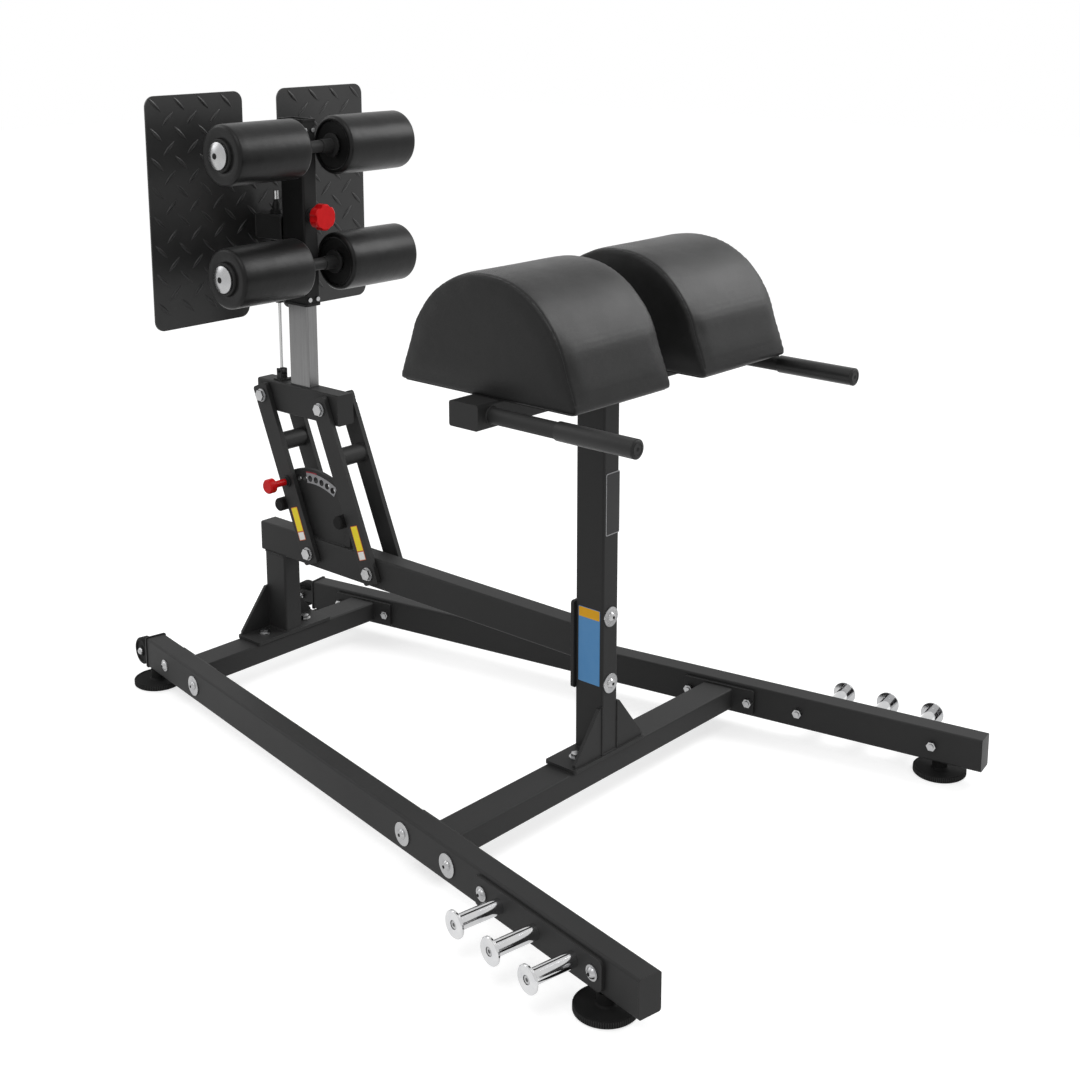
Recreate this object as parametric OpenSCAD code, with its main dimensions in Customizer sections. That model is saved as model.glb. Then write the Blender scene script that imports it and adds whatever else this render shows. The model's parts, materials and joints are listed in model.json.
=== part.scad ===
// Glute ham developer: a splayed floor frame, a padded thigh rest on an upright, and an
// ankle carriage on a parallelogram linkage, with a sleeve that slides on its post.
// Lengths are in millimetres. X points to the front, Y to the left and Z up.
// The origin is on the floor, half way between the rear wheels and the front of the rails.

/* [Frame tubing] */
// Long side of the frame tubing
tube_long = 75; // [65:1:85]
// Short side of the frame tubing
tube_short = 50; // [44:1:56]
// Wall of the frame tubing
tube_wall = 3; // [2:0.5:4]
// Outside corner radius of the frame tubing
tube_corner = 5; // [4.5:0.5:7]

/* [Side rails] */
// Length of each side rail without its end pieces
rail_len = 1842; // [1750:1:1950]
// Angle between a side rail and the centre line
rail_splay = 10.1; // [8:0.1:12]
// Distance from the centre line to a rail's rear end
rail_rear_y = 267.5; // [245:0.5:300]
// Place of the rails' rear ends along X
rail_rear_x = -868.7; // [-900:0.1:-840]
// Thickness of the end caps' lips and of the rear end plates
cap_lip = 3; // [2:0.5:5]
// Depth of the caps inside the tubes
cap_depth = 18; // [10:1:30]

/* [Crossmembers] */
// Centre of the rear crossmember along X
rear_cross_x = -691; // [-720:1:-660]
// Centre of the front crossmember and of the upright along X
front_cross_x = 338.5; // [310:0.5:370]
// Length of the bolting flanges along the rails
flange_len = 178; // [165:1:200]
// Height of the bolting flanges
flange_h = 58; // [52:1:66]
// Thickness of the bolting flanges
flange_t = 8; // [5:0.5:10]
// Distance between the two bolts of a flange
flange_pitch = 152; // [135:1:160]

/* [Post, beam and upright] */
// Height of the rear post between its base plate and the beam
rear_post_h = 200; // [170:1:240]
// Height of the upright between its base plate and the crossbar
upright_h = 788; // [700:1:860]
// Length of the base plates across the machine
base_len = 236; // [200:1:260]
// Width of the base plates along the machine
base_w = 84; // [80:1:90]
// Thickness of the base plates and gussets
plate_t = 8; // [5:0.5:10]
// Distance from the centre line to a base plate's bolts
base_bolt_y = 66; // [60:1:80]
// Height of the gussets over their base plate
gusset_h = 108; // [80:1:140]
// Length of a gusset's foot beside its post
gusset_foot = 86; // [60:1:88]
// Rear end of the main beam along X, without its cap
beam_rear_x = -737.5; // [-760:0.5:-700]
// Width of the beam's front plate
beam_plate_w = 62; // [58:1:70]
// Height of the beam's front plate
beam_plate_h = 196; // [180:1:220]
// Distance from the beam's centre down to the plate's centre
beam_plate_drop = 5.5; // [0:0.5:10]
// Distance between the two bolts of the beam's front plate
beam_bolt_pitch = 149; // [140:1:155]

/* [Thigh rest] */
// Length of the crossbar under the thigh pads without its caps
crossbar_len = 786; // [740:1:840]
// Radius of the thigh pads' round top
pad_r = 226; // [200:1:250]
// Length of one thigh pad across the machine
pad_len = 293; // [260:1:310]
// Gap between the two thigh pads
pad_gap = 101; // [80:1:140]
// Radius of the pads' edges at their ends
pad_edge = 7; // [4:1:12]
// Radius of the pads' lower edges
pad_corner = 6; // [3:1:10]
// How far a pad spreads over its board at the base
pad_flare = 5.5; // [0:0.5:7]
// Outward crown of a pad's end faces
pad_crown = 4; // [2:0.5:8]
// Swell of a pad's top between its ends
pad_swell = 1.5; // [0:0.5:4]
// Thickness of the boards under the pads
board_t = 10; // [8:1:15]
// How far the boards stay inside the pads' outline
board_inset = 7; // [4:1:15]
// Distance from the crossbar's end to a handle's axis
handle_inset = 35; // [30:1:60]
// Outside diameter of the handles
handle_d = 32; // [28:0.5:36]
// Length of the handles in front of the crossbar
handle_len = 344; // [300:1:400]
// Outside diameter of the grips
grip_d = 37; // [35:0.5:44]
// Length of the grips
grip_len = 177; // [150:1:220]

/* [Band pegs] */
// Middle of the peg plates along the rails, from the rails' rear end
peg_plate_s = 1577; // [1540:1:1620]
// Length of the peg plates
peg_plate_len = 364; // [340:1:400]
// Height of the peg plates
peg_plate_h = 60; // [56:1:64]
// Thickness of the peg plates
peg_plate_t = 8; // [5:0.5:10]
// Distance between a peg plate's two bolts
peg_bolt_pitch = 316; // [300:1:330]
// Distance between neighbouring pegs
peg_pitch = 106; // [90:1:120]
// Diameter of the pegs
peg_d = 30; // [25:1:34]
// Diameter of the discs at the pegs' ends
peg_disc_d = 53; // [46:1:60]
// Length of the pegs between plate and disc
peg_len = 96; // [80:1:110]
// Thickness of the pegs' end discs
peg_disc_t = 5; // [4:0.5:8]

/* [Feet and wheels] */
// Height of the rubber feet, which is the rails' height over the floor
foot_h = 38; // [34:1:42]
// Diameter of the rubber feet
foot_d = 115; // [100:1:130]
// Height of the feet's upright rims
foot_rim_h = 17; // [12:1:24]
// Place of the rear feet along the rails
foot_rear_s = 22; // [14:1:60]
// Place of the front feet along the rails
foot_front_s = 1744; // [1700:1:1760]
// Distance of the feet outwards from the rails' centre lines
foot_out = 9; // [0:1:12]
// Radius of the transport wheels
wheel_r = 34; // [30:0.5:37]
// Width of the transport wheels
wheel_w = 26; // [20:1:30]
// Distance from the rails' rear end back to the wheels' axle
wheel_back = 46.8; // [44:0.1:60]
// Distance of the wheels outwards from the rails' centre lines
wheel_out = 8; // [4:1:10]
// Height of the wheels' axle over the floor
wheel_z = 63.5; // [60:0.5:74]

/* [Linkage] */
// Rear lower pivot along X
pivot_x = -545; // [-570:1:-520]
// Distance between the rear and front pivots
pivot_pitch = 214.5; // [195:0.5:235]
// Distance between a link's two pivots
link_len = 405; // [370:1:440]
// Rearward lean of the links at rest
link_lean = 22.6; // [20:0.1:25]
// Width of the link bars
link_w = 50; // [44:1:56]
// Thickness of the link bars
link_t = 12; // [8:0.5:14]
// How much farther out the far bars of the links stand than the near ones
far_bar_off = 18; // [10:1:30]
// Length of a link bar beyond its pivots
link_end = 27; // [22:1:32]
// Diameter of the cross tubes of the links
link_tube_d = 45; // [35:1:48]
// Distance from a link's lower pivot to its cross tube
link_tube_r = 282; // [270:1:300]
// Diameter of the pivot bolts
pivot_d = 16; // [12:0.5:18]
// Length of the carriage tube between its caps
carriage_len = 287; // [270:1:320]
// Distance from the rear upper pivot to the carriage tube's rear end
carriage_tail = 28; // [22:1:35]

/* [Adjustment sector] */
// Radius of the ring of holes about the rear lower pivot
sector_hole_r = 184; // [175:1:195]
// Outside radius of the sector
sector_r = 208; // [202:1:220]
// Thickness of the sector
sector_t = 10; // [6:0.5:12]
// Distance from the centre line to the sector's middle plane
sector_y = 11; // [8:0.5:14]
// Diameter of the swing pin's knob
swing_knob_d = 36; // [30:1:42]
// Length of the swing pin's knob head
swing_knob_t = 18; // [14:1:24]
// Diameter of the swing pin's neck
swing_neck_d = 17; // [13:0.5:19]
// Length of the swing pin's neck outside its housing
swing_neck_len = 26; // [16:1:34]
// Number of adjustment holes
sector_holes = 8; // [4:1:9]
// Diameter of the adjustment holes
sector_hole_d = 14; // [13:0.5:16]
// Distance from a lower pivot to its rubber stop, along the link
stop_r = 135; // [115:1:145]
// Diameter of the rubber stops
stop_d = 33; // [28:1:38]
// Length of the rubber stops
stop_len = 36; // [30:1:42]

/* [Slide post and sleeve] */
// Width of the slide post along X
post_w = 70; // [64:1:76]
// Width of the slide post across the machine
post_d = 32; // [28:1:36]
// Wall of the slide post
post_wall = 3; // [2:0.5:4]
// Height of the slide post over the carriage
post_h = 632; // [600:1:680]
// Distance from the rear upper pivot forward to the post's middle
post_forward = 117.5; // [100:0.5:135]
// Gap between the post and the sleeve's walls
sleeve_gap = 2.5; // [2.5:0.5:5]
// Wall of the sleeve
sleeve_wall = 3; // [2:0.5:4]
// Length of the sleeve
sleeve_len = 431; // [415:1:460]
// Height of the sleeve over the carriage at rest
sleeve_rise = 206; // [180:1:230]
// Distance between neighbouring height holes
height_pitch = 20; // [18:1:30]
// Holes below the one in use at rest
holes_below = 7; // [3:1:7]
// Holes above the one in use at rest
holes_above = 3; // [1:1:5]
// Height of the height pin over the sleeve's lower end
height_pin_up = 211; // [190:1:240]
// Diameter of the height pin's knob
height_knob_d = 62; // [50:1:66]
// Length of the height pin's knob
height_knob_t = 26; // [20:1:30]
// Diameter of both spring pins
pin_d = 12; // [8:0.5:12.5]
// Stroke of both spring pins
pin_stroke = 12; // [11:0.5:14]

/* [Ankle rollers and foot plate] */
// Diameter of the rollers
roller_d = 140; // [120:1:150]
// Length of the rollers
roller_len = 210; // [190:1:230]
// Distance between the two rollers on an axle
roller_gap = 115; // [100:1:130]
// Diameter of the axles
axle_d = 29; // [24:0.5:32]
// Height of the lower axle over the sleeve's lower end
axle_low = 96; // [85:1:110]
// Distance between the axles
axle_pitch = 277; // [260:1:290]
// Wall of the axles
axle_wall = 3; // [2:0.5:5]
// Diameter of the collars at the rollers' inner ends
axle_collar_d = 56; // [42:1:62]
// Diameter of the rollers' end caps
roller_cap_d = 62; // [55:1:68]
// Diameter of the rollers' hubs where they stand out at the ends
roller_hub_d = 75; // [70:1:84]
// How far the hubs stand out
roller_hub_out = 5; // [2:1:8]
// Width of the foot plate
plate_w = 654; // [600:1:700]
// Height of the foot plate
plate_h = 541; // [500:1:580]
// Thickness of the foot plate's sheet
plate_sheet = 4; // [3:0.5:6]
// Width of the foot plate's notches
notch_w = 106; // [90:1:120]
// Depth of the foot plate's notches
notch_depth = 140; // [110:1:160]
// Corner radius of the foot plate
plate_corner = 25; // [15:1:35]
// How far the foot plate reaches below the sleeve
plate_drop = 44; // [20:1:60]
// Length of the foot plate's arm
arm_len = 93; // [80:1:110]
// Width of the arm
arm_w = 50; // [44:1:56]
// Height of the arm
arm_h = 60; // [50:1:70]
// Height of the arm's middle over the sleeve's lower end
arm_up = 174; // [150:1:200]
// Distance from the post's middle back to the gas spring
gas_back = 85; // [75:1:95]
// Diameter of the gas spring's cylinder
gas_d = 19; // [15:0.5:22]
// Length of the gas spring's cylinder
gas_len = 240; // [230:1:245]
// Diameter of the gas spring's rod
gas_rod_d = 8; // [6:0.5:10]

/* [Fasteners] */
// Diameter of the frame bolts
bolt_d = 12; // [10:0.5:14]
// Diameter of the wide washers on the rails
wide_washer_d = 48; // [36:1:54]
// Diameter of the wide washers on the upright
upright_washer_d = 43; // [34:1:48]
// Diameter of the plain washers
small_washer_d = 29; // [26:1:32]
// Thickness of the washers
washer_t = 2.5; // [1.5:0.5:4]

/* [Hidden] */
$fn = 64;

black_steel = [0.13, 0.13, 0.135];
black_rubber = [0.06, 0.06, 0.06];
black_plastic = [0.09, 0.09, 0.09];
black_vinyl = [0.1, 0.1, 0.1];
bright_steel = [0.75, 0.76, 0.76];
satin_steel = [0.55, 0.56, 0.56];
signal_red = [0.75, 0.07, 0.09];

// clearances: a push fit, a running fit, a free hole and a gap to a moving or soft piece
push_gap = 0.2;
run_gap = 0.06;
hole_gap = 0.4;
side_gap = 0.3;
// cuts run past the faces that they open
past = 1;
pad_bolt_d = 8;
peg_screw_d = 8;
peg_seat = 6;
// angle between the points of a thigh pad's round top, and height of its spread base
pad_step = 5;
flare_h = 40;

rail_zc = foot_h + tube_long / 2;
cross_top = rail_zc + tube_short / 2;
plate_top = cross_top + plate_t;
beam_z0 = plate_top + rear_post_h;
beam_zc = beam_z0 + tube_long / 2;
upright_top = plate_top + upright_h;
crossbar_zc = upright_top + tube_short / 2;
crossbar_top = upright_top + tube_short;
board_top = crossbar_top + board_t;
upright_rear_x = front_cross_x - tube_long / 2;
upright_front_x = front_cross_x + tube_long / 2;
handle_y = crossbar_len / 2 - handle_inset;

// along a rail: where the middle of each crossmember meets the rail's inner face
function cross_s(x) = (x - rail_rear_x - tube_short / 2 * sin(rail_splay)) / cos(rail_splay);
flange_s = [cross_s(rear_cross_x), cross_s(front_cross_x)];
// distance from the centre line to a rail's inner face at a place along X
function inner_y(x) = rail_rear_y - tube_short / 2 / cos(rail_splay)
    + (x - rail_rear_x) * tan(rail_splay);

front_pivot_x = pivot_x + pivot_pitch;
lean_x = -link_len * sin(link_lean);
upper_z = beam_zc + link_len * cos(link_lean);
carriage_top = upper_z + tube_long / 2;
carriage_rear_x = pivot_x + lean_x - carriage_tail;
bush_half = tube_short / 2 + 1.8;
bar_inner = bush_half + side_gap;
bar_outer = bar_inner + link_t;
far_inner = bar_inner + far_bar_off;
far_outer = far_inner + link_t;
sector_near = -sector_y - sector_t / 2;
hole_step = 2 * link_lean / (sector_holes - 1);

post_x = pivot_x + lean_x + post_forward;
sleeve_z = carriage_top + sleeve_rise;
sleeve_w = post_w + 2 * sleeve_gap + 2 * sleeve_wall;
sleeve_d = post_d + 2 * sleeve_gap + 2 * sleeve_wall;
sleeve_front = post_x + sleeve_w / 2;
sleeve_rear = post_x - sleeve_w / 2;
post_corner = post_wall + 1;
liner_len = 60;
collar_t = 6;
liner_screw_d = 5;
axle_x = sleeve_front + axle_d / 2;
axle_zs = [sleeve_z + axle_low, sleeve_z + axle_low + axle_pitch];
roller_y0 = roller_gap / 2;
roller_y1 = roller_y0 + roller_len;
// the rollers run between collars on the axles and the end caps
hub_y1 = roller_y1 + roller_hub_out;
axle_bore = axle_d - 2 * axle_wall;
cap_disc_t = 4;
cap_rise = 8;
plate_x = sleeve_rear - arm_len;
arm_z = sleeve_z + arm_up;
gas_x = post_x - gas_back;
gas_z1 = arm_z + arm_h / 2 + 23;
gas_rod_in = 90;
gas_z0 = gas_z1 - gas_len;
gas_lug_z = carriage_top + 22;
gas_eye_t = 10;
gas_fork_t = 4;
// the spring pins are drawn back: their tips stand this far from the holes' faces
tip_gap = 0.5;
swing_housing_h = 8;
swing_flare_h = 11;
height_housing_h = 14;
height_pin_z = sleeve_z + height_pin_up;
// bolts: height of heads and nuts, and how far a bolt stands out of its nut
head_h = 7;
nut_h = 10;
bolt_over = 3;
stud_depth = 20;
// the wheels turn on bolts through one lug each
axle_bolt_d = 10;
wheel_play = 0.5;
lug_t = 6;
lug_r = 16;
lug_y = wheel_out - wheel_w / 2 - wheel_play - washer_t;

// both sides of the machine: the children and their mirror image
module both_sides() {
    children();
    mirror([0, 1, 0]) children();
}

// the left rail's own frame: X along the rail from its rear end, Y outwards, Z up
module on_rail() {
    translate([rail_rear_x, rail_rear_y, 0]) rotate([0, 0, rail_splay]) children();
}

// a rectangle with round corners, centred
module round_rect(w, h, r) {
    square([w - 2 * r, h], center = true);
    square([w, h - 2 * r], center = true);
    for (x = [-1, 1], y = [-1, 1])
        translate([x * (w / 2 - r), y * (h / 2 - r)]) circle(r);
}

// a rectangular tube along Z from z = 0, w along X and h along Y
module box_tube(len, w, h, wall = tube_wall, corner = tube_corner) {
    linear_extrude(len) difference() {
        round_rect(w, h, corner);
        round_rect(w - 2 * wall, h - 2 * wall, corner - wall + 0.5);
    }
}

// turns a piece drawn along Z, with its X across, to lie along X or along Y
module along_x() {
    rotate([90, 0, 90]) children();
}
module along_y() {
    rotate([-90, 0, 0]) children();
}

// a plain hole along Z through the plane z = 0
module drill(d, depth) {
    translate([0, 0, -depth / 2]) cylinder(d = d, h = depth);
}

// a plug for a tube that ends at z = 0: lip outside, hollow spigot inside
module tube_cap(w, h) {
    linear_extrude(cap_lip) round_rect(w, h, tube_corner);
    translate([0, 0, -cap_depth]) linear_extrude(cap_depth + past) difference() {
        round_rect(w - 2 * tube_wall - 2 * push_gap, h - 2 * tube_wall - 2 * push_gap, 2);
        round_rect(w - 2 * tube_wall - 8, h - 2 * tube_wall - 8, 2);
    }
}

module washer(d_in, d_out, t) {
    difference() {
        cylinder(d = d_out, h = t);
        translate([0, 0, -past]) cylinder(d = d_in, h = t + 2 * past);
    }
}

// a bolt whose head sits below z = 0 and whose shank runs up
module dome_bolt(d, shank) {
    a = d * 0.9;
    ball = (a * a + head_h * head_h) / (2 * head_h);
    intersection() {
        translate([0, 0, ball - head_h]) sphere(ball);
        translate([0, 0, -head_h - past]) cylinder(r = a, h = head_h + past);
    }
    translate([0, 0, -past]) cylinder(d = d, h = shank + past);
}
module hex_bolt(d, shank) {
    translate([0, 0, -head_h]) cylinder(r = d * 0.9, h = head_h, $fn = 6);
    translate([0, 0, -past]) cylinder(d = d, h = shank + past);
}
module hex_nut(d) {
    difference() {
        cylinder(r = d * 0.92, h = nut_h, $fn = 6);
        translate([0, 0, -past]) cylinder(d = d + push_gap, h = nut_h + 2 * past);
    }
}

// Floor frame

module rail() {
    on_rail() difference() {
        translate([0, 0, rail_zc]) along_x() box_tube(rail_len, tube_short, tube_long);
        for (s = flange_s, k = [-1, 1])
            translate([s + k * flange_pitch / 2, 0, rail_zc]) along_y()
                drill(bolt_d + hole_gap, tube_short + 4 * past);
        for (k = [-1, 1])
            translate([peg_plate_s + k * peg_bolt_pitch / 2, 0, rail_zc]) along_y()
                drill(bolt_d + hole_gap, tube_short + 4 * past);
        at_feet(foot_h) drill(bolt_d + hole_gap, 4 * tube_wall);
    }
}
module side_rail_left() {
    color(black_steel) rail();
}
module side_rail_right() {
    color(black_steel) mirror([0, 1, 0]) rail();
}
module rail_front_caps() {
    color(black_plastic) both_sides() on_rail()
        translate([rail_len, 0, rail_zc]) along_x() tube_cap(tube_short, tube_long);
}

// a tube between the rails with a bolting flange welded to each end
module crossmember(x, s) {
    reach = inner_y(x + tube_long) + tube_short;
    difference() {
        translate([x, -reach, rail_zc]) along_y() box_tube(2 * reach, tube_long, tube_short);
        both_sides() on_rail()
            translate([s - flange_len, -tube_short / 2 - flange_t, rail_zc - tube_long])
                cube([2 * flange_len, 4 * tube_short, 2 * tube_long]);
        for (k = [-1, 1])
            translate([x, k * base_bolt_y, rail_zc]) drill(bolt_d + hole_gap, 2 * tube_short);
    }
    both_sides() on_rail() difference() {
        translate([s, -tube_short / 2 - flange_t, rail_zc]) along_y()
            linear_extrude(flange_t) round_rect(flange_len, flange_h, 4);
        for (k = [-1, 1])
            translate([s + k * flange_pitch / 2, -tube_short / 2, rail_zc]) along_y()
                drill(bolt_d + hole_gap, 4 * flange_t);
    }
}
module rear_crossmember() {
    color(black_steel) crossmember(rear_cross_x, flange_s[0]);
}
module front_crossmember() {
    color(black_steel) crossmember(front_cross_x, flange_s[1]);
}

// the places of the eight bolts through rails and flanges: rear pair, then the others
module at_rear_bolts(y) {
    both_sides() on_rail() translate([flange_s[0] - flange_pitch / 2, y, rail_zc])
        rotate([90, 0, 0]) children();
}
module at_wide_bolts(y) {
    both_sides() on_rail()
        for (s = [flange_s[0] + flange_pitch / 2, flange_s[1] - flange_pitch / 2,
            flange_s[1] + flange_pitch / 2])
            translate([s, y, rail_zc]) rotate([90, 0, 0]) children();
}
module at_rail_bolts(y) {
    at_rear_bolts(y) children();
    at_wide_bolts(y) children();
}
module rail_bolts() {
    color(bright_steel) {
        at_rail_bolts(tube_short / 2 + washer_t)
            dome_bolt(bolt_d, washer_t + tube_short + flange_t + nut_h + bolt_over);
        at_rear_bolts(tube_short / 2 + washer_t)
            washer(bolt_d + hole_gap, small_washer_d, washer_t);
    }
}
module wide_washers() {
    color(bright_steel) {
        at_wide_bolts(tube_short / 2 + washer_t)
            washer(bolt_d + hole_gap, wide_washer_d, washer_t);
        at_beam_bolts(upright_front_x + washer_t)
            washer(bolt_d + hole_gap, upright_washer_d, washer_t);
    }
}
module rail_nuts() {
    color(bright_steel) at_rail_bolts(-tube_short / 2 - flange_t) hex_nut(bolt_d);
}

// a base plate on a crossmember, with a triangular gusset on each side of its post
module post_foot(x, gusset_x) {
    difference() {
        translate([x, 0, cross_top]) linear_extrude(plate_t) round_rect(base_w, base_len, 6);
        for (k = [-1, 1])
            translate([x, k * base_bolt_y, cross_top]) drill(bolt_d + hole_gap, 4 * plate_t);
    }
    inside = tube_wall - 0.5;
    both_sides() translate([gusset_x, tube_short / 2, plate_top]) along_x()
        translate([0, 0, -plate_t / 2]) linear_extrude(plate_t) polygon([
            [-inside, 0], [gusset_foot, 0], [gusset_foot, plate_t],
            [plate_t, gusset_h], [-inside, gusset_h]
        ]);
}
module rear_post() {
    color(black_steel) {
        post_foot(rear_cross_x, rear_cross_x - tube_long / 2 + plate_t / 2);
        translate([rear_cross_x, 0, plate_top])
            box_tube(rear_post_h, tube_long, tube_short);
    }
}
module front_upright() {
    color(black_steel) {
        post_foot(front_cross_x, upright_front_x - plate_t / 2);
        difference() {
            translate([front_cross_x, 0, plate_top])
                box_tube(upright_h, tube_long, tube_short);
            at_beam_bolts(front_cross_x) drill(bolt_d + hole_gap, 2 * tube_long);
        }
    }
}
module base_plate_bolts() {
    color(bright_steel) for (x = [rear_cross_x, front_cross_x], k = [-1, 1])
        translate([x, k * base_bolt_y, 0]) {
            translate([0, 0, plate_top + washer_t]) rotate([180, 0, 0])
                hex_bolt(bolt_d, washer_t + plate_t + tube_short + nut_h + bolt_over);
            translate([0, 0, plate_top]) washer(bolt_d + hole_gap, small_washer_d, washer_t);
            translate([0, 0, cross_top - tube_short]) rotate([180, 0, 0]) hex_nut(bolt_d);
        }
}

// Main beam

module at_beam_bolts(x) {
    for (k = [-1, 1])
        translate([x, 0, beam_zc - beam_plate_drop + k * beam_bolt_pitch / 2])
            rotate([0, -90, 0]) children();
}
module main_beam() {
    beam_len = upright_rear_x - plate_t - beam_rear_x;
    color(black_steel) {
        difference() {
            translate([beam_rear_x, 0, beam_zc]) along_x()
                box_tube(beam_len, tube_short, tube_long);
            for (x = [pivot_x, front_pivot_x])
                translate([x, 0, beam_zc]) along_y() drill(1.6 * pivot_d, 2 * tube_short);
        }
        for (x = [pivot_x, front_pivot_x])
            translate([x, 0, beam_zc]) along_y() pivot_bush();
        difference() {
            translate([upright_rear_x - plate_t, 0, beam_zc - beam_plate_drop]) along_x()
                linear_extrude(plate_t) round_rect(beam_plate_w, beam_plate_h, 6);
            at_beam_bolts(upright_rear_x) drill(bolt_d + hole_gap, 4 * plate_t);
        }
    }
}
// a bush welded through a tube, which keeps the links off the tube's walls
// a bush through its tube; it stands out as far as the far bar
module pivot_bush() {
    translate([0, 0, -bush_half])
        washer(pivot_d + 2 * run_gap, 1.7 * pivot_d, 2 * bush_half + far_bar_off);
}
module beam_rear_cap() {
    color(black_plastic) translate([beam_rear_x, 0, beam_zc]) mirror([1, 0, 0]) along_x()
        tube_cap(tube_short, tube_long);
}
module beam_bolts() {
    color(bright_steel) {
        at_beam_bolts(upright_front_x + washer_t)
            dome_bolt(bolt_d, washer_t + tube_long + plate_t + nut_h + bolt_over);
        at_beam_bolts(upright_rear_x - plate_t) hex_nut(bolt_d);
    }
}

// Adjustment sector with its rubber stops

// from a lower pivot: where a rubber stop meets the rear edge of its link at rest
stop_off = link_w / 2 + stop_d / 2 + side_gap;
stop_dx = -stop_r * sin(link_lean) - stop_off * cos(link_lean);
stop_dz = stop_r * cos(link_lean) - stop_off * sin(link_lean);

module sector_outline() {
    low = tube_long / 2;
    front = stop_dx + pivot_pitch - 14;
    intersection() {
        circle(sector_r);
        polygon([
            [-50, low], [front, low], [front, 1.2 * sector_r],
            [-1.2 * sector_r * sin(link_lean + 7), 1.2 * sector_r * cos(link_lean + 7)]
        ]);
    }
    for (x = [stop_dx, stop_dx + pivot_pitch]) translate([x, stop_dz]) circle(stop_d / 2);
    translate([stop_dx, stop_dz - stop_d / 2]) square([40, stop_d]);
    translate([stop_dx + pivot_pitch - 40, stop_dz - stop_d / 2]) square([40, stop_d]);
}
module adjustment_sector() {
    color(black_steel) difference() {
        translate([pivot_x, -sector_y + sector_t / 2, beam_zc]) rotate([90, 0, 0])
            linear_extrude(sector_t) sector_outline();
        for (i = [0 : sector_holes - 1])
            translate([pivot_x, -sector_y, beam_zc])
                rotate([0, -link_lean + i * hole_step, 0]) translate([0, 0, sector_hole_r])
                    along_y() drill(sector_hole_d, 4 * sector_t);
    }
}
module rubber_stops() {
    color(black_rubber) for (x = [stop_dx, stop_dx + pivot_pitch])
        translate([pivot_x + x, sector_near, beam_zc + stop_dz]) rotate([90, 0, 0]) {
            cylinder(d = stop_d, h = stop_len - 3);
            translate([0, 0, stop_len - 3]) cylinder(d1 = stop_d, d2 = stop_d - 6, h = 3);
        }
}

// Thigh rest

module crossbar() {
    color(black_steel) difference() {
        translate([front_cross_x, -crossbar_len / 2, crossbar_zc]) along_y()
            box_tube(crossbar_len, tube_long, tube_short);
        at_pad_bolts(crossbar_zc) drill(pad_bolt_d + hole_gap, 2 * tube_short);
    }
}
module crossbar_caps() {
    color(black_plastic) both_sides() translate([front_cross_x, crossbar_len / 2, crossbar_zc])
        along_y() tube_cap(tube_long, tube_short);
}
module at_pad_bolts(z) {
    for (side = [-1, 1], k = [0.25, 0.75])
        translate([front_cross_x, side * (pad_gap / 2 + k * pad_len), z]) children();
}
module pad_boards() {
    color(black_plastic) difference() {
        both_sides() translate([front_cross_x, (pad_gap + pad_len) / 2, crossbar_top])
            linear_extrude(board_t)
                round_rect(2 * (pad_r - board_inset), pad_len - 2 * board_inset, 8);
        at_pad_bolts(crossbar_top) drill(pad_bolt_d + hole_gap, 4 * board_t);
    }
}
module pad_bolts() {
    color(bright_steel) {
        at_pad_bolts(upright_top - washer_t)
            hex_bolt(pad_bolt_d, washer_t + tube_short + board_t - past);
        at_pad_bolts(upright_top - washer_t)
            washer(pad_bolt_d + hole_gap, 2.7 * pad_bolt_d, washer_t);
    }
}

// the thigh pad's cross section, drawn in by e round its top above a flat base
function pad_spread(z) = pad_flare * pow(max(0, 1 - z / flare_h), 2);
function pad_half(e, t) = (pad_r - e) * cos(t)
    + sign(cos(t)) * pad_spread(pad_corner + (pad_r - e) * sin(t));
function pad_foot(e, t) = pad_half(e, 0) - pad_corner * (1 - cos(t));
function pad_section(e) = concat(
    [for (t = [0 : pad_step : 180]) [pad_half(e, t), pad_corner + (pad_r - e) * sin(t)]],
    [for (t = [30 : 30 : 90]) [-pad_foot(e, t), pad_corner * (1 - sin(t))]],
    [for (t = [90 : -30 : 30]) [pad_foot(e, t), pad_corner * (1 - sin(t))]]
);
// stations from a pad's end to its middle: distance in, and how far the section is drawn in
pad_stations = concat(
    [[0, 80], [0.35 * pad_crown, 36], [0.8 * pad_crown, 14]],
    [for (t = [0 : 30 : 90])
        [pad_crown + pad_edge * (1 - cos(t)), pad_edge * (1 - sin(t))]],
    [[pad_len / 4, -0.7 * pad_swell], [pad_len / 2, -pad_swell]]
);
module thigh_pad() {
    half = len(pad_stations);
    rows = concat(pad_stations,
        [for (i = [half - 2 : -1 : 0]) [pad_len - pad_stations[i][0], pad_stations[i][1]]]);
    points = [for (row = rows, p = pad_section(row[1] + pad_swell)) [p[0], row[0], p[1]]];
    n = len(pad_section(0));
    last = len(rows) - 1;
    polyhedron(points, concat(
        [for (k = [0 : last - 1], i = [0 : n - 1], second = [0, 1])
            let (j = (i + 1) % n)
            second == 0 ? [k * n + i, k * n + j, (k + 1) * n + j]
                : [k * n + i, (k + 1) * n + j, (k + 1) * n + i]],
        [[for (i = [n - 1 : -1 : 0]) i]],
        [[for (i = [0 : n - 1]) last * n + i]]));
}
module thigh_pad_left() {
    color(black_vinyl) translate([front_cross_x, pad_gap / 2, board_top + side_gap]) thigh_pad();
}
module thigh_pad_right() {
    color(black_vinyl) mirror([0, 1, 0])
        translate([front_cross_x, pad_gap / 2, board_top + side_gap]) thigh_pad();
}

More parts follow.
